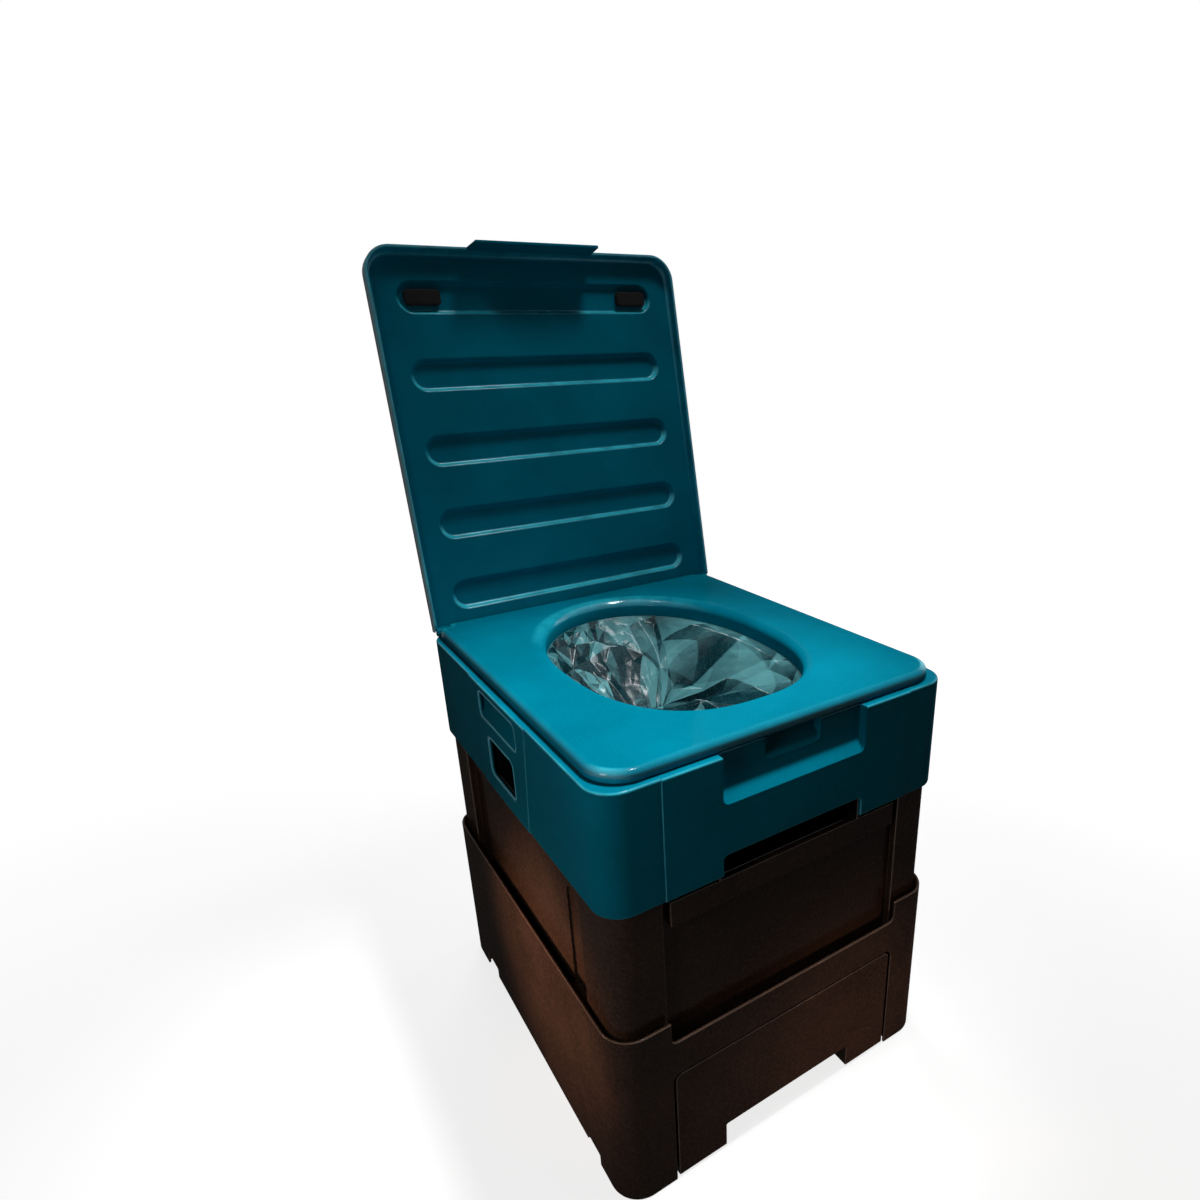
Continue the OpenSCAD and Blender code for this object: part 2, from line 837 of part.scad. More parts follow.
module case_shell() {
  rim_x = case_x - rim_w;
  rim_y = case_y - rim_w;
  color(teal)
    difference() {
      union() {
        difference() {
          slab(case_w, case_d, case_r, [case_z, rim_z]);
          slab(2 * inner_x, 2 * inner_y, case_r - case_wall, [case_z - 1, rim_z - case_wall]);
          slab(2 * rim_x, 2 * rim_y, case_r - 12, [case_z, rim_z + 1]);
        }
        both_x()
          side_panel();
        span([-front_panel_w / 2, front_panel_w / 2], [-panel_y, -inner_y - 1], [case_z, rim_z]);
        span([-recess_w / 2 - 4, recess_w / 2 + 4], [-panel_y, -panel_y + recess_d + recess_pad],
          [rim_z - recess_h - 4, rim_z]);
        span([-notch_w / 2 - 4, notch_w / 2 + 4], [-panel_y, -rim_y], [rim_z - notch_h - 4, rim_z]);
        both_x()
          span([case_x - scoop_d - scoop_pad, case_x], [-scoop_w / 2 - 4, scoop_w / 2 + 4],
            [rim_z - scoop_drop - scoop_h - scoop_pad, rim_z]);
        both_x()
          both_y()
            span([inner_x - 13, inner_x + 1], [case_y - 96, case_y - 76], [deck_top, deck_top + 8]);
      }
      tab_recess();
      both_x()
        scoop();
      mirror([1, 0, 0])
        port_cut([inner_x - 1, case_x + panel_proud + 1], 0);
      hand_opening();
      both_x() {
        span([arm_x - arm_w / 2 - arm_gap, arm_x + arm_w / 2 + arm_gap], [rim_y - 1, case_y + 1],
          [hinge_z - barrel_r + 0.5, rim_z + 1]);
        for (x = [-1, 1])
          rod_along_y(screw_r, arm_x + x * arm_w / 4, [inner_y - 1, case_y + 1], bracket_mid);
      }
    }
}

// Hand opening in the case's front wall
module hand_opening() {
  corner = 5;
  y = [-panel_y - 1, -inner_y + 1];
  span([-hand_w / 2, hand_w / 2], y, [case_z - 1, pocket_top - corner]);
  span([-hand_w / 2 + corner, hand_w / 2 - corner], y, [case_z - 1, pocket_top]);
  for (x = [-1, 1])
    rod_along_y(corner, x * (hand_w / 2 - corner), y, pocket_top - corner);
}

module case_deck() {
  color(grey)
    difference() {
      union() {
        slab(2 * (inner_x - seat_clear), 2 * (inner_y - seat_clear), case_r - case_wall, [deck_z, deck_top]);
        both_x()
          both_y()
            span(post_x, post_y, [deck_top - 1, shelf_z]);
      }
      span([-deck_hole_x, deck_hole_x], deck_hole_y, [deck_z - 1, deck_top + 1]);
      span([-hand_w / 2 - pocket_wall - seat_clear, hand_w / 2 + pocket_wall + seat_clear],
        [-case_y, -body_front + pocket_d + pocket_wall + seat_clear], [deck_z - 1, deck_top + 1]);
      both_x()
        both_y()
          translate([deck_screw_x, deck_screw_y, deck_z - 1])
            cylinder(r = screw_r + run_gap, h = deck_t + 2);
    }
}

// Screws that hold the deck down, each in a boss nut under it
module deck_screws() {
  color(steel)
    both_x()
      both_y()
        translate([deck_screw_x, deck_screw_y, 0]) {
          translate([0, 0, deck_top])
            cylinder(r = screw_head_r, h = screw_head_t);
          translate([0, 0, deck_z - 9])
            cylinder(r = screw_r, h = deck_t + 9.5);
          translate([0, 0, deck_z - 5])
            cylinder(r = screw_head_r + 1, h = 5);
        }
}

// Chute under the seal with a flange that meets the seal frame
module drop_chute() {
  half = chute_w / 2;
  top = frame_z;
  color(grey)
    difference() {
      union() {
        span([-half, half], chute_y, [body_z + chute_rise, top]);
        span([-frame_x - frame_t, frame_x + frame_t], [frame_reach[0] - frame_t, frame_reach[1] + frame_t],
          [top - chute_wall, top]);
      }
      span([-half + chute_wall, half - chute_wall], [chute_y[0] + chute_wall, chute_y[1] - chute_wall],
        [body_z, top + 1]);
    }
}

module seal_frame() {
  z = [frame_z, deck_z];
  color(steel)
    difference() {
      union() {
        both_x()
          span([frame_x, frame_x + frame_t], [frame_reach[0] - frame_t, frame_reach[1] + frame_t], z);
        span([-frame_x - 1, frame_x + 1], [frame_reach[0] - frame_t, frame_reach[0]], z);
        span([-frame_x - 1, frame_x + 1], [frame_reach[1], frame_reach[1] + frame_t], z);
      }
      both_x() {
        rod_along_y(rod_r + slip_gap, rod_x, [frame_reach[0] - 10, frame_reach[1] + 10], rod_z);
        rod_along_y(bush_r + slip_gap, spindle_x, [frame_reach[0] - 10, frame_reach[1] + 10], spindle_z);
      }
    }
}

module guide_rods() {
  color(steel)
    both_x()
      rod_along_y(rod_r, rod_x, [frame_reach[0] - frame_t, frame_reach[1] + frame_t], rod_z);
}

module spindle_bearings() {
  color("goldenrod")
    both_x()
      difference() {
        union() {
          rod_along_y(bush_r, spindle_x, [frame_reach[0] - frame_t, frame_reach[0]], spindle_z);
          rod_along_y(bush_r, spindle_x, [frame_reach[1], frame_reach[1] + frame_t], spindle_z);
          rod_along_y(bush_flange_r, spindle_x,
            [frame_reach[0] - frame_t - bush_flange_t, frame_reach[0] - frame_t], spindle_z);
          rod_along_y(bush_flange_r, spindle_x,
            [frame_reach[1] + frame_t, frame_reach[1] + frame_t + bush_flange_t], spindle_z);
        }
        rod_along_y(spindle_r + run_gap, spindle_x, [frame_reach[0] - 20, frame_reach[1] + 20], spindle_z);
      }
}

// A spindle of the right side, reaching forward to a given place
module spindle(front) {
  color(steel)
    rod_along_y(spindle_r, spindle_x, [front, frame_reach[1] + frame_t + bush_flange_t + 2], spindle_z);
}

module spindle_left() {
  mirror([1, 0, 0])
    spindle(motor_y - motor_plate_t - 6);
}

module spindle_right() {
  spindle(pulley_y - pulley_w);
}

// A belt pulley on the right side
module pulley() {
  color(grey)
    difference() {
      union() {
        rod_along_y(pulley_r, spindle_x, [pulley_y - pulley_w, pulley_y], spindle_z);
        rod_along_y(pulley_r - 3, spindle_x, [pulley_y - 1, pulley_y + 2], spindle_z);
      }
      rod_along_y(spindle_r + slip_gap, spindle_x, [pulley_y - 20, pulley_y + 10], spindle_z);
    }
}

module pulley_left() {
  mirror([1, 0, 0])
    pulley();
}

module pulley_right() {
  pulley();
}

// Closed run of belt round both pulleys, as the outline of a given radius
module belt_loop(r, y) {
  both_x()
    rod_along_y(r, spindle_x, y, spindle_z);
  span([-spindle_x, spindle_x], y, [spindle_z - r, spindle_z + r]);
}

module sync_belt() {
  y = [pulley_y - (pulley_w + belt_w) / 2, pulley_y - (pulley_w - belt_w) / 2];
  color(black)
    difference() {
      belt_loop(pulley_r + seat_clear + belt_t, y);
      belt_loop(pulley_r + seat_clear, [y[0] - 1, y[1] + 1]);
    }
}

module motor_bracket() {
  color(steel)
    difference() {
      union() {
        span([-spindle_x - motor_r - 4, -spindle_x + motor_r + 4], [motor_y - motor_plate_t, motor_y],
          [spindle_z - motor_r - 2, deck_z]);
        span([-spindle_x - motor_r - 4, -spindle_x + motor_r + 4], [motor_y - motor_plate_t - 16, motor_y],
          [deck_z - 3, deck_z]);
      }
      rod_along_y(spindle_r + 2, -spindle_x, [motor_y - 10, motor_y + 10], spindle_z);
    }
}

module gearmotor() {
  face = motor_y - motor_plate_t;
  color(grey)
    difference() {
      union() {
        rod_along_y(motor_r - 1, -spindle_x, [face - 26, face], spindle_z);
        rod_along_y(motor_r - 3, -spindle_x, [face - motor_len, face - 25], spindle_z);
        rod_along_y(6, -spindle_x, [face - motor_len - 3, face - motor_len + 1], spindle_z);
      }
      rod_along_y(spindle_r + run_gap, -spindle_x, [face - 8, face + 1], spindle_z);
    }
}

// A jaw behind (side 1) or before (side -1) its face, bored for rods and spindles and grooved in its face
module jaw(face, side) {
  y = side > 0 ? [face, face + jaw_t] : [face - jaw_t, face];
  color("silver")
    difference() {
      span([-jaw_len / 2, jaw_len / 2], y, jaw_z);
      both_x() {
        rod_along_y(rod_r + run_gap, rod_x, [y[0] - 1, y[1] + 1], rod_z);
        rod_along_y(spindle_r + run_gap, spindle_x, [y[0] - 1, y[1] + 1], spindle_z);
      }
      translate([0, -side, 0])
        jaw_insert(face, side, insert_d + 1);
    }
}

// Strip set in a jaw's face
module jaw_insert(face, side, depth) {
  middle = (jaw_z[0] + jaw_z[1]) / 2;
  y = side > 0 ? [face, face + depth] : [face - depth, face];
  span([-insert_half, insert_half], y, [middle - insert_h / 2, middle + insert_h / 2]);
}

module jaw_rear() {
  jaw(neck_y + jaw_meet, 1);
}

module heater_bar() {
  color("goldenrod")
    jaw_insert(neck_y + jaw_meet, 1, insert_d);
}

module jaw_front() {
  jaw(neck_y - jaw_meet, -1);
}

module seal_pad() {
  color("firebrick")
    jaw_insert(neck_y - jaw_meet, -1, insert_d);
}

module cassette_shelf() {
  color(grey)
    difference() {
      slab(2 * shelf_x, 2 * shelf_y, tray_r, [shelf_z, tray_z]);
      oval_slab(hole_a, hole_b, [shelf_z - 1, tray_z + 1]);
    }
}

module cassette_tray() {
  color(grey)
    difference() {
      slab(2 * tray_x, 2 * tray_y, tray_r, [tray_z, tray_top]);
      difference() {
        slab(2 * (tray_x - tray_wall), 2 * (tray_y - tray_wall), tray_r - tray_wall,
          [tray_z + tray_wall, tray_top + 1]);
        oval_slab(hole_a + tray_wall, hole_b + tray_wall, [tray_z, tray_top + 2]);
      }
      oval_slab(hole_a, hole_b, [tray_z - 1, tray_top + 1]);
    }
}

// The folded stock of film, a ring round the tray's inner wall
module liner_pack() {
  gap = 2;
  z = [tray_z + tray_wall, tray_top - 3];
  color("lightgrey")
    difference() {
      slab(2 * (tray_x - tray_wall - gap), 2 * (tray_y - tray_wall - gap), tray_r - tray_wall - gap, z);
      oval_slab(hole_a + tray_wall + gap, hole_b + tray_wall + gap, [z[0] - 1, z[1] + 1]);
    }
}

module cassette_cover() {
  color(grey)
    difference() {
      slab(2 * tray_x, 2 * tray_y, tray_r, [tray_top, cover_top]);
      oval_slab(cover_a, cover_b, [tray_top - 1, cover_top + 1]);
    }
}

// One loop of the funnel: t is 0 at the top and 1 at the neck, inset draws it in
function film_loop(t, z, inset) = [
  for (i = [0:film_count - 1])
    let (
      angle = 360 * i / film_count,
      n = lerp(sin(angle) < 0 ? lip_n_front : lip_n_back, neck_n, t * t),
      fold = fold_d * sin(180 * t) * t * cos(fold_count * angle + 40),
      a = max(lerp(film_a, neck_a, t) - inset + fold, 0.4),
      b = max(lerp(film_b, neck_t / 2, t) - inset + fold * (1 - t), 0.4)
    )
    [a * sign(cos(angle)) * pow(abs(cos(angle)), 2 / n),
      lerp(bowl_y, neck_y, t) + b * sign(sin(angle)) * pow(abs(sin(angle)), 2 / n), z]
];

module liner_film() {
  neck_bottom = frame_z - 10;
  cavity_end = 0.94;
  drop = cover_top - neck_top;
  loops = concat(
    [for (k = [film_rings:-1:0]) let (t = cavity_end * k / film_rings)
      film_loop(t, cover_top - drop * t + film_t, film_t)],
    [film_loop(0, cover_top + flange_film, -film_gap - 2.5)],
    [film_loop(0, cover_top, -film_gap - 2.5)],
    [for (k = [0:film_rings]) let (t = k / film_rings) film_loop(t, cover_top - drop * t, 0)],
    [film_loop(1, neck_bottom, 0)]
  );
  count = len(loops);
  points = [for (loop = loops) each loop];
  faces = concat(
    [[for (i = [film_count - 1:-1:0]) i]],
    band(count, film_count, false),
    [[for (i = [0:film_count - 1]) (count - 1) * film_count + i]]
  );
  color([0.75, 0.82, 0.85])
    polyhedron(points, faces, convexity = 6);
}

// Box behind the port, open towards it
module port_bay() {
  color(black)
    difference() {
      span(bay_x, [-bay_half, bay_half], [deck_top, bay_top]);
      span([bay_x[0] - 1, bay_x[1] - bay_wall], [-bay_half + bay_wall, bay_half - bay_wall],
        [deck_top + bay_wall, bay_top - bay_wall]);
      rod_along_x(button_r + seat_clear, [bay_x[1] - 10, bay_x[1] + 1], control_y, control_z);
      rod_along_x(socket_r + slip_gap, [bay_x[1] - 10, bay_x[1] + 1], socket_y, control_z);
    }
}

module power_socket() {
  color(steel)
    difference() {
      union() {
        rod_along_x(socket_r, [bay_x[1] - bay_wall, bay_x[1] + 12], socket_y, control_z);
        rod_along_x(socket_r + 2, [bay_x[1] - bay_wall - 1.5, bay_x[1] - bay_wall], socket_y, control_z);
      }
      rod_along_x(2.75, [bay_x[1] - 10, bay_x[1] + 8], socket_y, control_z);
    }
}

// Round button with a collar behind the bay's wall
module start_button() {
  color("lightgrey") {
    rod_along_x(button_r, button_end, control_y, control_z);
    rod_along_x(button_r + 1.5, [bay_x[1] + seat_clear, bay_x[1] + seat_clear + collar_t], control_y, control_z);
  }
}

// Return spring between the button's end and the floor of its switch
module button_spring() {
  color(steel)
    difference() {
      rod_along_x(spring_r, [spring_x, spring_x + spring_len], control_y, control_z);
      rod_along_x(spring_r - 0.8, [spring_x - 1, spring_x + spring_len + 1], control_y, control_z);
    }
}

// Switch behind the bay's wall that holds the button's collar and spring
module button_switch() {
  half = button_r + 4;
  color(black)
    difference() {
      span([bay_x[1], spring_x + spring_len + 4], [control_y - half, control_y + half],
        [control_z - half, control_z + half]);
      rod_along_x(button_r + 2.5, [bay_x[1] - 1, spring_x + spring_len], control_y, control_z);
    }
}

module control_box() {
  color(black)
    difference() {
      span(box_x, box_y, [deck_top, deck_top + box_h]);
      span([box_x[0] + box_wall, box_x[1] - box_wall], [box_y[0] + box_wall, box_y[1] - box_wall],
        [deck_top + box_wall, deck_top + box_h - box_wall]);
      span([box_x[0] - 1, box_x[0] + box_wall + 1], [box_y[1] - box_slot[0] - box_slot[1], box_y[1] - box_slot[0]],
        [deck_top + box_slot_z[0], deck_top + box_slot_z[0] + box_slot_z[1]]);
    }
}

module control_board() {
  board_z = deck_top + box_wall + standoff_h;
  chip = [chip_w, chip_w, chip_t];
  relay = [relay_w, relay_d, relay_t];
  color("darkgreen")
    span([box_x[0] + board_gap, box_x[1] - board_gap], [box_y[0] + board_gap, box_y[1] - board_gap],
      [board_z, board_z + board_t]);
  color(black) {
    translate([box_x[0] + chip_in.x, box_y[0] + chip_in.y, board_z + board_t])
      cube(chip);
    translate([box_x[1] - relay_in.x - relay_w, box_y[0] + relay_in.y, board_z + board_t])
      cube(relay);
    for (x = [box_x[0] + 2 * board_gap, box_x[1] - 2 * board_gap])
      for (y = [box_y[0] + 2 * board_gap, box_y[1] - 2 * board_gap])
        translate([x, y, deck_top + box_wall])
          cylinder(r = standoff_r, h = standoff_h);
  }
}

module hinge_brackets() {
  low = bracket_mid - bracket_h / 2;
  high = bracket_mid + bracket_h / 2;
  reach = arm_w / 2 + seat_clear;
  color(black)
    both_x()
      difference() {
        union() {
          span([arm_x - reach - ear_t, arm_x + reach + ear_t], [case_y, case_y + bracket_t], [low, high]);
          for (x = [arm_x - reach - ear_t, arm_x + reach]) {
            span([x, x + ear_t], [case_y, hinge_y], [high - 10, hinge_z + 1]);
            rod_along_x(ear_r, [x, x + ear_t], hinge_y, hinge_z);
          }
        }
        rod_along_x(seat_pin_r + slip_gap, [arm_x - 40, arm_x + 40], hinge_y, hinge_z);
        span([arm_x - 40, arm_x + 40], [case_y - 10, case_y], [low - 10, hinge_z + 20]);
        for (x = [-1, 1])
          rod_along_y(screw_r, arm_x + x * arm_w / 4, [case_y - 1, case_y + bracket_t + 1], bracket_mid);
      }
}

module seat_pins() {
  reach = arm_w / 2 + seat_clear + ear_t;
  color(steel)
    both_x() {
      rod_along_x(seat_pin_r, [arm_x - reach, arm_x + reach], hinge_y, hinge_z);
      rod_along_x(seat_pin_r + 1.2, [arm_x + reach, arm_x + reach + 1.5], hinge_y, hinge_z);
    }
}

module bracket_screws() {
  color(steel)
    both_x()
      for (x = [-1, 1]) {
        rod_along_y(screw_r - slip_gap, arm_x + x * arm_w / 4, [inner_y - 5, case_y + bracket_t + 0.5], bracket_mid);
        rod_along_y(screw_head_r, arm_x + x * arm_w / 4,
          [case_y + bracket_t, case_y + bracket_t + screw_head_t], bracket_mid);
      }
}

// Points of the seat's outline drawn in by an inset, with its own radii at front and back
function seat_corner(cx, cy, r, from) = [
  for (i = [0:corner_steps]) let (t = from + 90 * i / corner_steps) [cx + r * cos(t), cy + r * sin(t)]
];
function seat_side(from, to) = [
  for (i = [1:side_steps]) let (t = i / (side_steps + 1)) [lerp(from.x, to.x, t), lerp(from.y, to.y, t)]
];
function seat_outline(inset) = let (
    fr = seat_r,
    br = seat_back_r,
    a = seat_corner(seat_x - br, seat_back - br, br - inset, 0),
    b = seat_corner(-seat_x + br, seat_back - br, br - inset, 90),
    c = seat_corner(-seat_x + fr, seat_front + fr, fr - inset, 180),
    d = seat_corner(seat_x - fr, seat_front + fr, fr - inset, 270)
  )
  concat(a, seat_side(a[corner_steps], b[0]), b, seat_side(b[corner_steps], c[0]),
    c, seat_side(c[corner_steps], d[0]), d, seat_side(d[corner_steps], a[0]));

// Point of the bowl's oval in the direction of a point of the outline
function lip_point(p, a, b) = let (
    t = atan2(p.y - bowl_y, p.x),
    n = p.y < bowl_y ? lip_n_front : lip_n_back,
    r = pow(pow(abs(cos(t)) / a, n) + pow(abs(sin(t)) / b, n), -1 / n)
  )
  [r * cos(t), bowl_y + r * sin(t)];

function seat_loop(inset, z) = [for (p = seat_outline(inset)) [p.x, p.y, z]];
function lip_loop(out, z) = [
  for (p = seat_outline(0)) let (q = lip_point(p, inner_a + out, inner_b + out)) [q.x, q.y, z]
];

// The seat's skin: up the inner wall, over the rolled lip, across the top, round the edge and back below
module seat_skin() {
  loops = concat(
    [lip_loop(0, collar_z)],
    [for (k = [0:roll_steps]) let (t = 90 * k / roll_steps)
      lip_loop(lip_roll * (1 - cos(t)), seat_top - roll_h * (1 - sin(t)))],
    [for (k = [edge_steps:-1:0]) let (t = 90 * k / edge_steps)
      seat_loop(seat_edge * (1 - cos(t)), seat_top - seat_edge * (1 - sin(t)))],
    [seat_loop(0, seat_z)],
    [seat_loop(seat_wall, seat_z)],
    [seat_loop(seat_wall, seat_top - seat_wall)],
    [lip_loop(lip_roll + 1.5, seat_top - seat_wall)],
    [lip_loop(seat_wall, seat_z)],
    [lip_loop(seat_wall, collar_z)]
  );
  points = [for (loop = loops) each loop];
  polyhedron(points, band(len(loops), len(loops[0]), true), convexity = 8);
}

module seat_plate() {
  tick_w = 2;
  tick_d = 4;
  color(teal)
    difference() {
      union() {
        seat_skin();
        both_x() {
          span([ear_x - boss_len, ear_x - 0.5], [lid_axis_y - 6, seat_back - 0.5],
            [seat_z, seat_top - seat_edge + 2]);
          span([arm_x - arm_w / 2, arm_x + arm_w / 2], [seat_back - arm_root, seat_back - 0.5],
            [hinge_z - 2, seat_top - seat_wall + 1]);
          span([arm_x - arm_w / 2, arm_x + arm_w / 2], [seat_back - 2, hinge_y], [hinge_z - 2, hinge_z - 2 + arm_t]);
          rod_along_x(barrel_r, [arm_x - arm_w / 2, arm_x + arm_w / 2], hinge_y, hinge_z);
        }
      }
      both_x() {
        span([ear_x - 0.5, seat_x + 1], [lid_axis_y - knuckle_r - 0.6, seat_back + 1], [seat_z - 1, seat_top + 1]);
        span([83 - tick_w / 2, 83 + tick_w / 2], [seat_back - tick_d, seat_back + 1], [seat_z - 1, seat_top + 1]);
        rod_along_x(lid_pin_r + run_gap, [ear_x - boss_len + 1.5, ear_x + 1], lid_axis_y, lid_axis_z);
        rod_along_x(seat_pin_r + run_gap, [arm_x - arm_w, arm_x + arm_w], hinge_y, hinge_z);
      }
    }
}

module seat_buffers() {
  h = seat_gap - seat_clear;
  color(black)
    both_x()
      for (y = [seat_front + seat_r + 6, seat_back - 50])
        span([seat_x - seat_wall, seat_x], [y, y + 16], [seat_z - h, seat_z]);
}

// Puts a shape drawn flat, inner face at 0 and skirt upwards, into the open lid's place
module lid_place() {
  translate([0, lid_axis_y, lid_axis_z])
    rotate([90 - lid_lean, 0, 0])
      translate([0, -lid_axis_u, -lid_offset])
        children();
}

// The lid's outline drawn in by an inset, round at the far corners
module lid_outline(inset) {
  r = lid_r - inset;
  near = lid_near_r;
  x = lid_x - inset;
  far = lid_len - inset;
  translate([-x, near])
    square([2 * x, far - near - r]);
  translate([-x + near, 0])
    square([2 * x - 2 * near, near + 1]);
  translate([-x + r, near])
    square([2 * x - 2 * r, far - near]);
  for (s = [-1, 1]) {
    translate([s * (x - r), far - r])
      circle(r);
    translate([s * (x - near), near])
      circle(near);
  }
}

// Stadium with its long side across the lid
module stadium(len, wide, z) {
  translate([0, 0, z[0]])
    linear_extrude(z[1] - z[0]) {
      square([len - wide, wide], center = true);
      for (s = [-1, 1])
        translate([s * (len - wide) / 2, 0])
          circle(wide / 2);
    }
}

module lid_shell() {
  channels = [for (i = [0:channel_count - 1]) channel_first + i * channel_pitch];
  color(teal)
    lid_place()
      difference() {
        union() {
          translate([0, 0, -lid_t])
            linear_extrude(lid_t)
              lid_outline(0);
          difference() {
            translate([0, 0, -1])
              linear_extrude(lid_lip + 1)
                lid_outline(0);
            linear_extrude(lid_lip + 1)
              lid_outline(lid_wall);
            span([-lid_x + lid_wall, lid_x - lid_wall], [-1, lid_near_r + 1], [0, lid_lip + 1]);
            span([-lid_x - 1, lid_x + 1], [-1, lid_axis_u], [0, lid_lip + 1]);
          }
          for (u = channels)
            translate([0, u, 0])
              stadium(channel_len + 2 * pad_wall, channel_w + 2 * pad_wall, [-channel_depth - pad_wall, -1]);
          both_x() {
            translate([0, lid_axis_u, lid_offset])
              rod_along_x(knuckle_r, [ear_x + 0.5, lid_x - lid_wall + 1], 0, 0);
            span([ear_x + 0.5, lid_x - lid_wall + 1], [0.5, lid_axis_u + knuckle_r - 0.5], [-1, lid_offset]);
          }
          lid_tab();
        }
        for (u = channels)
          translate([0, u, 0])
            stadium(channel_len, channel_w, [-channel_depth, 1]);
        both_x()
          rod_along_x(lid_pin_r + slip_gap, [ear_x, lid_x - 1], lid_axis_u, lid_offset);
      }
}

// Tab on the lid's far edge, slightly narrower at its end
module lid_tab() {
  translate([0, tab_u + tab_t, 0])
    rotate([90, 0, 0])
      linear_extrude(tab_t)
        polygon([
          [-tab_half, lid_lip - 3], [tab_half, lid_lip - 3],
          [tab_end_half, tab_reach], [-tab_end_half, tab_reach]
        ]);
}

module lid_bumpers() {
  chamfer = 3;
  color(black)
    lid_place()
      for (s = [-1, 1])
        translate([s * bumper_x, bumper_u, -channel_depth])
          linear_extrude(channel_depth + bumper_tip)
            polygon([
              [-bumper_len / 2 + chamfer, -bumper_w / 2], [bumper_len / 2 - chamfer, -bumper_w / 2],
              [bumper_len / 2, -bumper_w / 2 + chamfer], [bumper_len / 2, bumper_w / 2 - chamfer],
              [bumper_len / 2 - chamfer, bumper_w / 2], [-bumper_len / 2 + chamfer, bumper_w / 2],
              [-bumper_len / 2, bumper_w / 2 - chamfer], [-bumper_len / 2, -bumper_w / 2 + chamfer]
            ]);
}

module lid_pins() {
  color(steel)
    both_x()
      rod_along_x(lid_pin_r, [ear_x - boss_len + 2, lid_x - 1.5], lid_axis_y, lid_axis_z);
}

base_shell();
drawer_front();
drawer_tub();
drawer_runners();
body_shell();
front_band();
grip_pocket();
case_shell();
case_deck();
deck_screws();
drop_chute();
seal_frame();
guide_rods();
spindle_bearings();
motor_bracket();
gearmotor();
sync_belt();
cassette_shelf();
cassette_tray();
liner_pack();
cassette_cover();
liner_film();
port_bay();
power_socket();
button_switch();
button_spring();
control_box();
control_board();
hinge_brackets();
seat_pins();
bracket_screws();
seat_plate();
seat_buffers();
lid_shell();
lid_bumpers();
lid_pins();
jaw_rear();
heater_bar();
jaw_front();
seal_pad();
spindle_left();
pulley_left();
spindle_right();
pulley_right();
start_button();
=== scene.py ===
"""Looks for the waterless sealing toilet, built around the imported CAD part.

Places and sizes are in millimetres in the row frame (X right, Y back, Z up) and turned to metres
where a mesh is made. Lamps, floor and camera are placed in metres.
"""

import json
import math

import bmesh
import bpy
import numpy as np
from mathutils import Matrix, Vector
from mathutils.geometry import delaunay_2d_cdt

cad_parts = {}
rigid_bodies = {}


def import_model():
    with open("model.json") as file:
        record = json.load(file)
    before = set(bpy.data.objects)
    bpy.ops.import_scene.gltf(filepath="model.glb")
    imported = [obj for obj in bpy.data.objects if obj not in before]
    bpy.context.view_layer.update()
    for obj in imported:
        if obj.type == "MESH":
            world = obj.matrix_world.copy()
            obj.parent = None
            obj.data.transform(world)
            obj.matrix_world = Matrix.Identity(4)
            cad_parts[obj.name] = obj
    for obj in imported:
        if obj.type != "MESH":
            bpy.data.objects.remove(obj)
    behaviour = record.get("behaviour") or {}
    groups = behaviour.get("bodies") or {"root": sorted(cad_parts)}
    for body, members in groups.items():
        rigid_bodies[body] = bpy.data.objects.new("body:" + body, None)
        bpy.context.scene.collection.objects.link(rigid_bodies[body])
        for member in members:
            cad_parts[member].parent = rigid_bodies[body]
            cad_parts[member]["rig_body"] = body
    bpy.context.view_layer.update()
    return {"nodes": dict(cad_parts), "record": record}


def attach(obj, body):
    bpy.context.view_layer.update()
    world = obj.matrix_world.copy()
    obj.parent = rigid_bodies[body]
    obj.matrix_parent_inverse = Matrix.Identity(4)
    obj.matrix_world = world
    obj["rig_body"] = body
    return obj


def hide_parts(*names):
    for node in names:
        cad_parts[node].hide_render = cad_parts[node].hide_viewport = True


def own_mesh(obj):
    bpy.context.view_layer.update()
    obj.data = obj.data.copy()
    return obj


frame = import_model()
nodes = frame["nodes"]
scene = bpy.context.scene
MM = 0.001

# Case and seat, as the CAD has them
CASE_X, CASE_Y, CASE_R, RIM_Z = 192.5, 216.0, 27.0, 442.0
SEAT_X, SEAT_FRONT, SEAT_BACK = 185.5, -210.5, 209.5
SEAT_Z, SEAT_TOP, SEAT_WALL = 443.5, 454.0, 3.0
SEAT_EDGE, COLLAR_Z = 5.0, 432.4
BOWL_Y, LIP_A, LIP_B, LIP_ROLL, ROLL_H = 6.5, 130.0, 176.5, 13.5, 10.0
LIP_N_FRONT, LIP_N_BACK = 2.55, 2.05
HINGE_Y, HINGE_Z, BARREL_R = 222.0, 438.0, 5.5
ARM_X, ARM_W = 112.0, 28.0
EAR_X, LID_AXIS_Y, LID_AXIS_Z = 173.0, 204.0, 447.6
SLIT_X, SLIT_DEPTH, SLIT_HALF = 83.0, 4.0, 1.0
LIP_STEPS, EDGE_STEPS = 16, 10

# Edge rounding: arc segments, and the angles in degrees from which an edge is sharp or a face flat
EDGE_SEGMENTS, SHARP_ANGLE, FLAT_ANGLE = 3, 24.0, 0.4
CASE_EDGE, RIM_OUTER_EDGE, RIM_INNER_EDGE, INSIDE_EDGE = 1.5, 2.1, 0.9, 0.5

# Button spring
SPRING_WIRE, SPRING_TURNS, SPRING_STEPS = 0.4, 5, 200

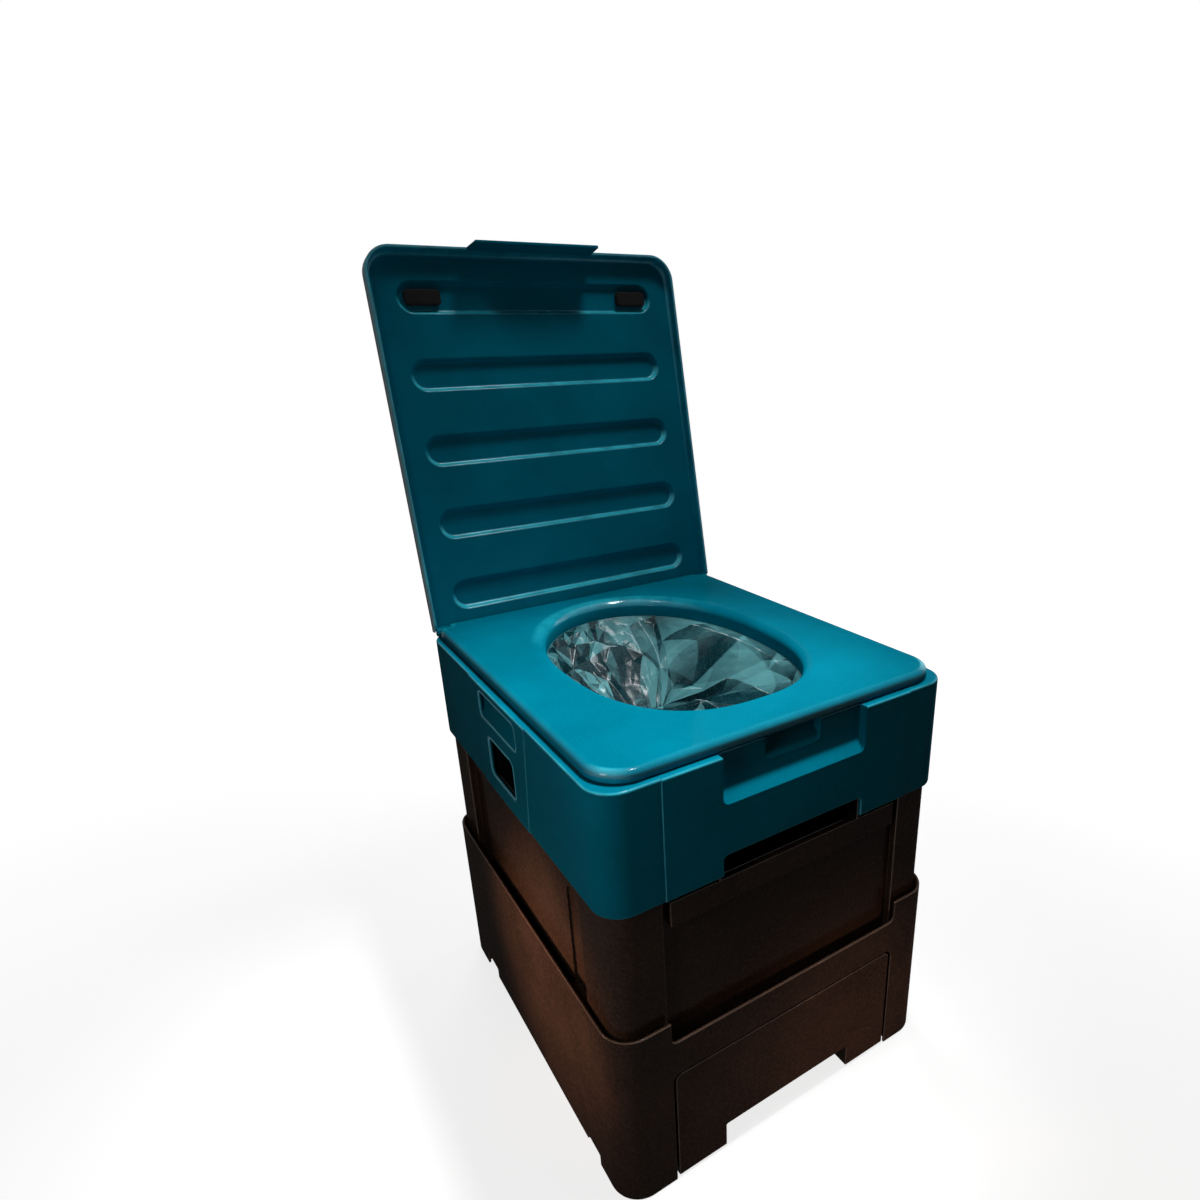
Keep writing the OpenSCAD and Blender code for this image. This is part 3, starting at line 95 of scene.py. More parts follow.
# Lid, in its own frame: x across, u from the hinge to the far edge, w out of the inner face
LID_X, LID_LEN, LID_LIP, LID_WALL, LID_T = 190.0, 420.0, 13.4, 3.2, 3.0
LID_R, LID_NEAR_R = 30.0, 3.0
LID_AXIS_U, LID_OFFSET, LID_LEAN = 1.4, 8.1, 10.6
CHANNELS = [38.0 + 83.0 * i for i in range(5)]
CHANNEL_LEN, CHANNEL_W, CHANNEL_DEPTH, PAD_WALL = 318.0, 34.0, 6.0, 2.7
KNUCKLE_R = 5.0
TAB_HALF, TAB_END_HALF, TAB_REACH, TAB_T, TAB_U = 77.0, 74.5, 40.0, 3.4, 416.4

# Film
FILM_A, FILM_B, FILM_TOP = 115.5, 162.5, 431.5
FILM_GIRTH, FILM_DEPTH = 880.0, 140.0
FILM_AROUND, FILM_DOWN = 640, 170
PLEATS_AT = 145.0
FILM_FLANGE = ((2.8, 0.0), (2.8, 0.5), (0.4, 0.55))
FILM_TAIL = ((14.0, 0.2), (30.0, 0.0), (50.0, 0.3), (70.0, 0.1))
NECK_Y, NECK_TOP, NECK_A, NECK_T, NECK_N = 58.0, 351.0, 28.0, 3.0, 4.0
FILM_SEED = 5


# Mesh helpers
def inside(point, loop):
    """True if a point is inside a closed line."""
    x, y = point
    odd = False
    for (ax, ay), (bx, by) in zip(loop, loop[1:] + loop[:1]):
        if (ay > y) != (by > y) and x < ax + (y - ay) / (by - ay) * (bx - ax):
            odd = not odd
    return odd


class Skin:
    """Points in millimetres and the faces between them, gathered piece by piece and made into one mesh."""

    def __init__(self):
        self.points = []
        self.faces = []
        self.gloss_and_highlight = []

    def loop(self, points, gloss_and_highlight=0.0):
        """Adds points, with one value of gloss and painted highlight for all of them or one for each, and gives
        back their numbers.
        """
        start = len(self.points)
        self.gloss_and_highlight += gloss_and_highlight if isinstance(gloss_and_highlight, list) else [gloss_and_highlight] * len(points)
        self.points.extend(tuple(float(c) for c in p) for p in points)
        return list(range(start, start + len(points)))

    def bridge(self, a, b):
        """Joins two closed loops of equal length with a ring of faces."""
        n = len(a)
        self.faces += [(a[i], a[(i + 1) % n], b[(i + 1) % n], b[i]) for i in range(n)]

    def chain(self, loops, gloss_and_highlight=None):
        """Adds loops and joins each with the next."""
        rows = [self.loop(p, gloss_and_highlight[i] if gloss_and_highlight else 0.0) for i, p in enumerate(loops)]
        for a, b in zip(rows, rows[1:]):
            self.bridge(a, b)
        return rows

    def tube(self, loops):
        """A chain of loops that is closed by a face at each end."""
        rows = self.chain(loops)
        self.faces += [tuple(rows[0]), tuple(rows[-1])]

    def fill(self, loops):
        """Closes the flat area between the outer loop and the holes, by their first two coordinates."""
        ids = [i for loop in loops for i in loop]
        flat = [Vector(self.points[i][:2]) for i in ids]
        edges, start = [], 0
        for loop in loops:
            n = len(loop)
            edges += [(start + i, start + (i + 1) % n) for i in range(n)]
            start += n
        _, _, faces, source, _, _ = delaunay_2d_cdt(flat, edges, [], 1, 1e-7)
        holes = [[self.points[i][:2] for i in loop] for loop in loops[1:]]
        for face in faces:
            corners = [ids[source[v][0]] for v in face]
            middle = [sum(self.points[i][k] for i in corners) / len(corners) for k in (0, 1)]
            if not any(inside(middle, hole) for hole in holes):
                self.faces.append(tuple(corners))

    def object(self, name, place=None, weld=1e-6):
        """Makes the object, with points nearer than the weld joined, all in metres."""
        mesh = bpy.data.meshes.new(name)
        mesh.from_pydata([Vector(p) * MM for p in self.points], [], self.faces)
        # Per-point gloss and painted highlight, read by the plastic materials.
        mesh.attributes.new("gloss_and_highlight", "FLOAT", "POINT").data.foreach_set("value", self.gloss_and_highlight)
        work = bmesh.new()
        work.from_mesh(mesh)
        bmesh.ops.remove_doubles(work, verts=work.verts, dist=weld)
        bmesh.ops.dissolve_degenerate(work, edges=work.edges, dist=1e-7)
        bmesh.ops.recalc_face_normals(work, faces=work.faces)
        work.to_mesh(mesh)
        work.free()
        if place is not None:
            mesh.transform(place)
        return smooth_piece(name, mesh)


def added(name, data):
    """A new object in the scene."""
    made = bpy.data.objects.new(name, data)
    scene.collection.objects.link(made)
    return made


def smooth_piece(name, mesh):
    """A smooth-shaded object of a mesh."""
    for polygon in mesh.polygons:
        polygon.use_smooth = True
    return added(name, mesh)


def smooth(t):
    """0 below 0, 1 above 1 and an even rise between them."""
    t = min(1.0, max(0.0, t))
    return t * t * (3 - 2 * t)


def arc(cx, cy, r, start, end, count):
    """Points on an arc between two angles in degrees."""
    turns = [math.radians(start + (end - start) * i / count) for i in range(count + 1)]
    return [(cx + r * math.cos(t), cy + r * math.sin(t)) for t in turns]


def circle(cx, cy, r, count):
    """Points round a circle."""
    turns = [2 * math.pi * i / count for i in range(count)]
    return [(cx + r * math.cos(t), cy + r * math.sin(t)) for t in turns]


def quarter(count):
    """Shares of a rounding's radius, (1 - cos, 1 - sin), at even steps through a quarter turn."""
    turns = [math.radians(90 * k / count) for k in range(count + 1)]
    return [(1 - math.cos(t), 1 - math.sin(t)) for t in turns]


def mirrored(parts):
    """The other half of an outline's arcs, in its order."""
    return [[(-x, y) for x, y in reversed(part)] for part in reversed(parts)]


def between(a, b, count):
    """Points that divide the straight way from a to b into equal parts, without its ends."""
    return [(a[0] + (b[0] - a[0]) * k / count, a[1] + (b[1] - a[1]) * k / count) for k in range(1, count)]


def bake(piece):
    """Applies a piece's modifiers to its mesh."""
    graph = bpy.context.evaluated_depsgraph_get()
    mesh = bpy.data.meshes.new_from_object(piece.evaluated_get(graph))
    piece.modifiers.clear()
    piece.data = mesh


def box_mesh(name, low, high):
    """A box between two opposite corners."""
    (x0, y0, z0), (x1, y1, z1) = low, high
    skin = Skin()
    skin.tube([[(x0, y0, z), (x1, y0, z), (x1, y1, z), (x0, y1, z)] for z in (z0, z1)])
    return skin.object(name)


def rounded(piece, width, segments=3):
    """Rounds a piece's sharp edges."""
    bevel = piece.modifiers.new("edges", "BEVEL")
    bevel.width = width * MM
    bevel.segments = segments
    bevel.limit_method = "ANGLE"
    bevel.angle_limit = math.radians(30)
    keep_flats_flat(piece)
    return piece


def rounded_box(name, low, high, width):
    return rounded(box_mesh(name, low, high), width)


def rod_x(name, r, x0, x1, y, z, width):
    """A round bar along x with rounded ends."""
    skin = Skin()
    skin.tube([[(x, *p) for p in circle(y, z, r, 48)] for x in (x0, x1)])
    return rounded(skin.object(name), width)


def keep_flats_flat(piece):
    """Weights normals by face area, so that flat faces stay flat beside their rounded edges."""
    modifier = piece.modifiers.new("flats", "WEIGHTED_NORMAL")
    modifier.mode = "FACE_AREA"
    modifier.weight = 50
    modifier.keep_sharp = True


def groups(items, beside):
    """Sorts items into sets that hang together, where beside gives an item's neighbours."""
    left, found = set(items), []
    while left:
        group, front = set(), [left.pop()]
        while front:
            item = front.pop()
            group.add(item)
            near = left.intersection(beside(item))
            left -= near
            front += near
        found.append(group)
    return found


def flat_regions(work):
    """Groups of faces that lie in one plane side by side."""
    def beside(face):
        flat = [e for e in face.edges
                if len(e.link_faces) == 2 and e.calc_face_angle(9.0) < math.radians(FLAT_ANGLE)]
        return [other for e in flat for other in e.link_faces]

    return groups(work.faces, beside)


def outlines(region):
    """The closed lines round a flat region, each as its points, with the longest one first."""
    def span(line):
        return sum(max(p[k] for p in line) - min(p[k] for p in line) for k in range(3))

    rim = {e for f in region for e in f.edges if any(other not in region for other in e.link_faces)}
    lines = groups(rim, lambda edge: [e for v in edge.verts for e in v.link_edges])
    points = [[v.co.copy() for v in {v for e in line for v in e.verts}] for line in lines]
    return sorted(points, key=span, reverse=True)


def cut_through_holes(work):
    """Splits each flat face with holes along straight lines through them, so that no face goes round a hole."""
    work.normal_update()
    for region in flat_regions(work):
        lines = outlines(region) if len(region) > 1 else []
        if len(lines) < 2:
            continue
        normal = next(iter(region)).normal.copy()
        axis = min(range(3), key=lambda k: (round(abs(normal[k]), 2), k))
        done = []
        for line in lines[1:]:
            values = [p[axis] for p in line]
            middle = (min(values) + max(values)) / 2
            if any(abs(middle - other) < 0.001 for other in done):
                continue
            done.append(middle)
            place, across = Vector((0, 0, 0)), Vector((0, 0, 0))
            place[axis], across[axis] = middle, 1.0
            parts = list(region)
            parts += list({e for f in region for e in f.edges}) + list({v for f in region for v in f.verts})
            cut = bmesh.ops.bisect_plane(work, geom=parts, dist=2e-5, plane_co=place, plane_no=across)
            for edge in cut["geom_cut"]:
                if isinstance(edge, bmesh.types.BMEdge):
                    edge.seam = True
            region = {g for g in cut["geom"] if isinstance(g, bmesh.types.BMFace)}


def cad_shape(node):
    """The node's surface with its triangles joined again into flat faces."""
    work = bmesh.new()
    work.from_mesh(nodes[node].data)
    bmesh.ops.remove_doubles(work, verts=work.verts, dist=2e-6)
    cut_through_holes(work)
    bmesh.ops.dissolve_limit(
        work, angle_limit=math.radians(FLAT_ANGLE), verts=work.verts, edges=work.edges,
        use_dissolve_boundaries=False, delimit={"SEAM"},
    )
    return work


def room_in_face(face, edge, sharp):
    """How wide one of a face's sharp edges may be rounded before it meets another one, in metres."""
    loop = next(l for l in face.loops if l.edge == edge)
    before, after = loop.link_loop_prev, loop.link_loop_next
    start, end = loop.vert.co, after.vert.co
    length = (end - start).length
    along = (end - start) / length
    inward = face.normal.cross(along)
    nearest, bend = 1.0, 0.0
    for other in face.loops:
        if other in (loop, before, after) or other.edge not in sharp:
            continue
        p, q = other.vert.co - start, other.link_loop_next.vert.co - start
        (px, py), (qx, qy) = sorted(((p.dot(along), p.dot(inward)), (q.dot(along), q.dot(inward))))
        if qx < 1e-7 or px > length - 1e-7:
            continue
        wide = max(qx - px, 1e-9)
        sides = [py + (qy - py) * min(1.0, max(0.0, (x - px) / wide)) for x in (0.0, length)]
        if min(sides) > 1e-6:
            nearest = min(nearest, *sides)
    for neighbour, first, second in (
        (before, start - before.vert.co, along), (after, along, after.link_loop_next.vert.co - end)
    ):
        if neighbour.edge in sharp:
            turn = math.atan2(first.cross(second).dot(face.normal), first.dot(second))
            bend += max(0.0, math.tan(min(turn, 3.0) / 2))
    return min(0.42 * nearest, 0.8 * length / bend if bend > 1e-6 else 1.0)


def even_chains(sharp, sizes):
    """Gives edges that run on smoothly into each other the smallest rounding among them."""
    def along(edge, vert):
        return (edge.other_vert(vert).co - vert.co).normalized()

    def beside(edge):
        return [e for vert in edge.verts for e in vert.link_edges
                if e in sharp and along(e, vert).dot(along(edge, vert)) < -0.90]

    even = {}
    for chain in groups(sharp, beside):
        even.update(dict.fromkeys(chain, min(sizes[e] for e in chain)))
    return even


def dressed(node, width, wanted=None):
    """A copy of a CAD node with rounded edges, which stands for it.

    wanted gives an edge's rounding by its middle and the width, where it isn't the same all over.
    """
    work = cad_shape(node)
    work.normal_update()
    sharp = {
        e for e in work.edges
        if len(e.link_faces) == 2 and e.calc_face_angle(0.0) > math.radians(SHARP_ANGLE)
    }
    sizes = {}
    for edge in sharp:
        middle = (edge.verts[0].co + edge.verts[1].co) / 2 / MM
        size = (width if wanted is None else wanted(middle, width)) * MM
        sizes[edge] = min([size] + [room_in_face(face, edge, sharp) for face in edge.link_faces])
    sizes = even_chains(sharp, sizes)
    widths = [sizes.get(edge, 0.0) / MM for edge in work.edges]
    mesh = bpy.data.meshes.new(node + "_dressed")
    mesh.from_pydata(
        [v.co.copy() for v in work.verts],
        [tuple(v.index for v in e.verts) for e in work.edges],
        [tuple(v.index for v in f.verts) for f in work.faces],
    )
    order = {tuple(sorted(v.index for v in e.verts)): i for i, e in enumerate(work.edges)}
    top = max(widths + [1e-6])
    weights = mesh.attributes.new("bevel_weight_edge", "FLOAT", "EDGE")
    for e in mesh.edges:
        weights.data[e.index].value = widths[order[tuple(sorted(e.vertices))]] / top
    work.free()
    piece = smooth_piece(node + "_dressed", mesh)
    bevel = piece.modifiers.new("edges", "BEVEL")
    bevel.width = top * MM
    bevel.segments = EDGE_SEGMENTS
    bevel.limit_method = "WEIGHT"
    bevel.use_clamp_overlap = False
    bevel.miter_outer = "MITER_ARC"
    bevel.material = 1
    keep_flats_flat(piece)
    stand_for(piece, node)
    piece.data.materials.append(finishes[SLOTS[node]])
    bake(piece)
    mark_edge_highlights(piece.data)


def mark_edge_highlights(mesh):
    """Marks the rounded outer edges for a painted highlight and gloss, most along their middle.

    The rounding's faces are those with the second material, which goes again. Inner corners stay as they are.
    """
    beside = {}
    for polygon in mesh.polygons:
        for key in polygon.edge_keys:
            beside.setdefault(key, []).append(polygon.index)
    values = []
    for polygon in mesh.polygons:
        value = 0.0
        if polygon.material_index == 1:
            others = [mesh.polygons[i] for key in polygon.edge_keys for i in beside[key] if i != polygon.index]
            if sum((other.center - polygon.center).dot(polygon.normal) for other in others) < -1e-7:
                value = 1.0 if all(other.material_index == 1 for other in others) else 0.3
        values.append(value)
    mesh.attributes.new("gloss_and_highlight", "FLOAT", "FACE").data.foreach_set("value", values)
    mesh.polygons.foreach_set("material_index", [0] * len(values))
    mesh.materials.pop(index=1)


SLOTS = {s["node"]: s["material_slot"] for s in frame["record"]["subparts"]}


def stand_for(piece, node):
    """Puts a piece in the place of a CAD node, with its finish and on its body."""
    piece.data.materials.clear()
    piece.data.materials.append(finishes[SLOTS[node]])
    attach(piece, nodes[node]["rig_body"])
    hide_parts(node)


# Materials
def material(name):
    """A new material with its node tree and its shader node."""
    made = bpy.data.materials.new(name)
    made.use_nodes = True
    tree = made.node_tree
    return made, tree, tree.nodes["Principled BSDF"]


def set_inputs(tree, shader, values):
    """Links a node's inputs to sockets, or sets them to numbers and colours."""
    for name, value in values.items():
        if isinstance(value, bpy.types.NodeSocket):
            tree.links.new(value, shader.inputs[name])
        else:
            shader.inputs[name].default_value = value


def place_of(tree):
    """Object coordinates, so that a texture keeps to its piece as it moves."""
    return tree.nodes.new("ShaderNodeTexCoord").outputs["Object"]


def stretched(tree, scale, rotation=(0.0, 0.0, 0.0)):
    """Object coordinates drawn out along one direction."""
    node = tree.nodes.new("ShaderNodeMapping")
    set_inputs(tree, node, {"Scale": scale, "Rotation": rotation, "Vector": place_of(tree)})
    return node.outputs["Vector"]


def attribute(tree, name):
    """A value kept in the mesh."""
    node = tree.nodes.new("ShaderNodeAttribute")
    node.attribute_name = name
    return node.outputs["Fac"]


def maths(tree, operation, a, b):
    """A sum on two sockets."""
    node = tree.nodes.new("ShaderNodeMath")
    node.operation = operation
    tree.links.new(a, node.inputs[0])
    tree.links.new(b, node.inputs[1])
    return node.outputs[0]


def noise(tree, scale, detail=3.0, rough=0.55, at=None):
    """Noise with its scale per metre."""
    node = tree.nodes.new("ShaderNodeTexNoise")
    vector = at or place_of(tree)
    set_inputs(tree, node, {"Scale": scale, "Detail": detail, "Roughness": rough, "Vector": vector})
    return node.outputs["Fac"]


def remap(tree, value, low, high, to_low, to_high):
    """A value's range low to high carried to another range, and cut off there."""
    node = tree.nodes.new("ShaderNodeMapRange")
    names = ("Value", "From Min", "From Max", "To Min", "To Max")
    set_inputs(tree, node, dict(zip(names, (value, low, high, to_low, to_high))))
    return node.outputs["Result"]


def mixed(tree, factor, a, b):
    """Mix of two colours, each a socket or three numbers."""
    node = tree.nodes.new("ShaderNodeMix")
    node.data_type = "RGBA"
    for socket, value in ((node.inputs[6], a), (node.inputs[7], b)):
        if isinstance(value, tuple):
            socket.default_value = (*value, 1.0)
        else:
            tree.links.new(value, socket)
    tree.links.new(factor, node.inputs[0])
    return node.outputs[2]


def scaled(colour, factor):
    return tuple(min(1.0, c * factor) for c in colour)


def bump(tree, heights):
    """Bumps laid one on the other, each a height with its distance in metres and its strength."""
    normal = None
    for value, distance, strength in heights:
        node = tree.nodes.new("ShaderNodeBump")
        set_inputs(tree, node, {"Distance": distance, "Strength": strength, "Height": value})
        if normal is not None:
            tree.links.new(normal, node.inputs["Normal"])
        normal = node.outputs["Normal"]
    return normal


def moulded(name, colour, pale, roughness, specular, grain, sparkle,
            scratches=0.0, coat=0.0, polished=0.15, coat_roughness=0.2, mottle=0.0):
    """Moulded plastic with a fine spark-eroded grain, faint flow clouding, pale flecks in the grain and a
    painted highlight on the edges.

    The painted highlight is a paler colour where the mesh's highlight value is high, broken up by noise. A thin
    gloss lies over it, its weight coat on the faces and polished where the edges carry the painted highlight.
    """
    made, tree, shader = material(name)
    clouds = noise(tree, 11.0, 4.0)
    speck = noise(tree, 780.0, 2.0)
    fine = noise(tree, 1500.0, 2.0, 0.7)
    dust = noise(tree, 60.0, 5.0, 0.65)
    stains = noise(tree, 26.0, 5.0, 0.6)
    dark, light = scaled(colour, 0.86 - mottle), scaled(colour, 1.12 + mottle)
    body = mixed(tree, remap(tree, clouds, 0.3, 0.7, 0.0, 1.0), dark, light)
    if mottle:
        body = mixed(tree, remap(tree, noise(tree, 240.0, 4.0, 0.7), 0.42, 0.66, 0.0, mottle), body, pale)
    body = mixed(tree, remap(tree, speck, 0.60, 0.72, 0.0, sparkle), body, pale)
    body = mixed(tree, remap(tree, dust, 0.62, 0.8, 0.0, 0.10), body, pale)
    gloss_and_highlight = attribute(tree, "gloss_and_highlight")
    # Painted highlight: the marked edges turn paler, broken up by noise.
    painted_edge_highlight = maths(tree, "MULTIPLY", gloss_and_highlight, remap(tree, noise(tree, 35.0, 4.0), 0.35, 0.7, 0.30, 0.85))
    body = mixed(tree, painted_edge_highlight, body, scaled(pale, 1.35))
    heights = [(speck, 0.0002, grain), (fine, 0.0001, grain * 0.8), (clouds, 0.0008, 0.06)]
    if scratches:
        lines = noise(tree, 1.0, 3.0, 0.6, stretched(tree, (6.0, 260.0, 90.0), (0.2, 0.3, 0.5)))
        heights.append((remap(tree, lines, 0.66, 0.72, 0.0, 1.0), 0.0001, scratches))
    set_inputs(tree, shader, {
        "Base Color": body,
        "Roughness": remap(tree, stains, 0.3, 0.7, roughness - 0.05, roughness + 0.06),
        "Specular IOR Level": specular,
        "Coat Weight": remap(tree, gloss_and_highlight, 0.0, 1.0, coat, polished),
        "Coat IOR": COAT_IOR,
        "Coat Roughness": coat_roughness,
        "Normal": bump(tree, heights),
    })
    return made


def metal(name, colour, roughness):
    """Bare metal with fine brushed lines and faint stains."""
    made, tree, shader = material(name)
    lines = noise(tree, 1.0, 3.0, 0.6, stretched(tree, (40.0, 900.0, 900.0)))
    stain = remap(tree, noise(tree, 45.0, 4.0), 0.3, 0.75, 0.0, 1.0)
    set_inputs(tree, shader, {
        "Base Color": mixed(tree, stain, colour, scaled(colour, 0.78)),
        "Roughness": remap(tree, lines, 0.3, 0.7, roughness - 0.08, roughness + 0.12),
        "Metallic": 1.0,
        "Normal": bump(tree, [(lines, 0.0001, 0.25)]),
    })
    return made


def soft(name, colour, roughness, grain_scale, grain, specular=0.4):
    """Rubber and silicone: dull, with a fine skin and patches of dust."""
    made, tree, shader = material(name)
    skin = noise(tree, grain_scale, 3.0)
    dust = noise(tree, 90.0, 5.0, 0.7)
    dusty = tuple(min(1.0, c * 2.2 + 0.02) for c in colour)
    set_inputs(tree, shader, {
        "Base Color": mixed(tree, remap(tree, dust, 0.45, 0.8, 0.0, 0.35), colour, dusty),
        "Roughness": remap(tree, dust, 0.3, 0.7, roughness - 0.06, roughness + 0.1),
        "Specular IOR Level": specular,
        "Normal": bump(tree, [(skin, 0.0002, grain)]),
    })
    return made


def circuit(name):
    """Green board with copper traces and pads under a clear varnish."""
    made, tree, shader = material(name)
    bricks = tree.nodes.new("ShaderNodeTexBrick")
    set_inputs(tree, bricks, {"Scale": 160.0, "Mortar Size": 0.03, "Vector": place_of(tree)})
    traces = mixed(tree, bricks.outputs["Fac"], (0.01, 0.10, 0.035), (0.03, 0.22, 0.09))
    pads = remap(tree, noise(tree, 260.0, 1.0), 0.66, 0.7, 0.0, 1.0)
    set_inputs(tree, shader, {
        "Base Color": mixed(tree, pads, traces, (0.55, 0.45, 0.2)),
        "Roughness": 0.35,
        "Normal": bump(tree, [(bricks.outputs["Fac"], 0.0001, 0.4)]),
    })
    return made


def film_material(name):
    """Thin silvery film with a low gloss and fine crinkles: painted shade in its folds, and painted glints with
    some white stress marks along its ridges.

    The mesh gives a tone for each facet, random and with painted shading, and ridge, how sharply the film bends
    and to which side.
    """
    made, tree, shader = material(name)
    cloud = noise(tree, 26.0, 4.0)
    tone_and_shade, ridge = attribute(tree, "tone_and_shade"), attribute(tree, "ridge")
    # Each facet's tone between a shaded and a lit, reflecting facet: painted shading and reflection.
    body = mixed(tree, remap(tree, tone_and_shade, -0.21, 0.24, 0.0, 1.0), FILM_SHADED_FACET, FILM_LIT_FACET)
    for share, colour in (
        (remap(tree, cloud, 0.35, 0.65, 0.0, 0.25), (0.010, 0.110, 0.135)),
        (remap(tree, noise(tree, 520.0, 2.0), 0.5, 0.75, 0.0, 0.2), (0.16, 0.36, 0.38)),
        # Painted shade deep in the folds.
        (remap(tree, ridge, -0.10, -0.7, 0.0, 0.9), (0.004, 0.014, 0.018)),
    ):
        body = mixed(tree, share, body, colour)
    # Painted glints, partly white stress marks, along the ridges, broken up by noise.
    crease_glints = maths(tree, "MULTIPLY", remap(tree, ridge, 0.06, 0.45, 0.0, 1.0),
                   remap(tree, noise(tree, 55.0, 2.0), 0.46, 0.60, 0.02, 1.0))
    set_inputs(tree, shader, {
        "Base Color": mixed(tree, crease_glints, body, (0.62, 0.76, 0.78)),
        "Roughness": remap(tree, cloud, 0.3, 0.7, 0.20, 0.32),
        "Specular IOR Level": 0.0,
        "Coat Weight": 0.09,
        "Coat IOR": COAT_IOR,
        "Coat Roughness": 0.27,
        "Normal": bump(tree, [(noise(tree, 420.0, 3.0, 0.6), 0.0003, 0.15)]),
    })
    return made


COAT_IOR = 2.6
TEAL, TEAL_PALE = (0.0, 0.219, 0.328), (0.02, 0.46, 0.58)
DARK, DARK_PALE = (0.050, 0.030, 0.0215), (0.18, 0.100, 0.064)
# Tones of the film's facets: painted shade at the dark end, painted reflection at the light end.
FILM_SHADED_FACET, FILM_LIT_FACET = (0.000, 0.016, 0.024), (0.150, 0.440, 0.475)
finishes = {
    "dark_shell": moulded("dark_shell", DARK, DARK_PALE, 0.40, 0.0, 0.55, 0.85,
                          coat=0.014, polished=0.10, mottle=0.25),
    "teal_case": moulded("teal_case", TEAL, TEAL_PALE, 0.38, 0.0, 0.22, 0.32, coat=0.008, polished=0.14),
    "teal_seat": moulded("teal_seat", TEAL, TEAL_PALE, 0.34, 0.0, 0.22, 0.36,
                         coat=0.008, polished=0.24, coat_roughness=0.13),
    # Painted shade: the lid's teal is made darker than the seat's.
    "teal_lid": moulded("teal_lid", scaled(TEAL, 0.88), TEAL_PALE, 0.38, 0.0, 0.20, 0.12,
                        scratches=0.3, coat=0.008, polished=0.18, coat_roughness=0.22),
    "black_trim": moulded("black_trim", (0.012, 0.011, 0.012), (0.05, 0.05, 0.055), 0.45, 0.0, 0.3, 0.1,
                          coat=0.04),
    "inner_grey": moulded("inner_grey", (0.19, 0.20, 0.215), (0.36, 0.37, 0.39), 0.5, 0.4, 0.3, 0.1),
    "rubber_black": soft("rubber_black", (0.013, 0.012, 0.012), 0.62, 900.0, 0.4, 0.05),
    "steel": metal("steel", (0.60, 0.61, 0.63), 0.30),
    "aluminium": metal("aluminium", (0.78, 0.79, 0.80), 0.36),
    "brass": metal("brass", (0.72, 0.52, 0.22), 0.32),
    "motor_paint": moulded("motor_paint", (0.06, 0.065, 0.075), (0.2, 0.2, 0.22), 0.38, 0.5, 0.15, 0.1),
    "silicone_red": soft("silicone_red", (0.42, 0.06, 0.035), 0.5, 700.0, 0.3),
    "board_green": circuit("board_green"),
    "button_grey": moulded("button_grey", (0.42, 0.43, 0.45), (0.6, 0.6, 0.62), 0.42, 0.5, 0.15, 0.1),
    "film": film_material("film"),
}


# Seat
def seat_outline(inset):
    """Arcs of the seat's outline drawn in by an inset, with notches for the lid's knuckles at the back."""
    notch_x, notch_y, front_r, hollow = EAR_X - 0.5, LID_AXIS_Y - KNUCKLE_R - 0.6, 34.0, 1.5
    r = max(4.3 - inset, 0.05)
    c = inset + r
    right = [
        arc(SEAT_X - front_r, SEAT_FRONT + front_r, front_r - inset, 270, 360, 18),
        arc(SEAT_X - c, notch_y - c, r, 0, 90, 6),
        arc(notch_x + hollow, notch_y + hollow, hollow + inset, 270, 180, 6),
        arc(notch_x - c, SEAT_BACK - c, r, 0, 90, 6),
    ]
    return right[1:] + mirrored(right) + right[:1]


def seat_points(inset):
    """Loop with the same number of points at any inset: straight parts are divided by the outer outline."""
    outer, inner = seat_outline(0.0), seat_outline(inset)
    points = []
    for i, part in enumerate(inner):
        following = (i + 1) % len(inner)
        count = max(1, round(math.dist(outer[i][-1], outer[following][0]) / 4.0))
        points += part + between(part[-1], inner[following][0], count)
    return points


def lip_point(p, a, b):
    """Point of the bowl's oval in the direction of a point of the outline."""
    t = math.atan2(p[1] - BOWL_Y, p[0])
    n = LIP_N_FRONT if p[1] < BOWL_Y else LIP_N_BACK
    r = ((abs(math.cos(t)) / a) ** n + (abs(math.sin(t)) / b) ** n) ** (-1 / n)
    return r * math.cos(t), BOWL_Y + r * math.sin(t)


def corner_highlight_share(p):
    """1 at the plate's corners, which get the most painted highlight and gloss, and 0 along its sides."""
    return smooth((min(abs(p[0]) / SEAT_X, abs(p[1]) / SEAT_BACK) - 0.84) / 0.10)


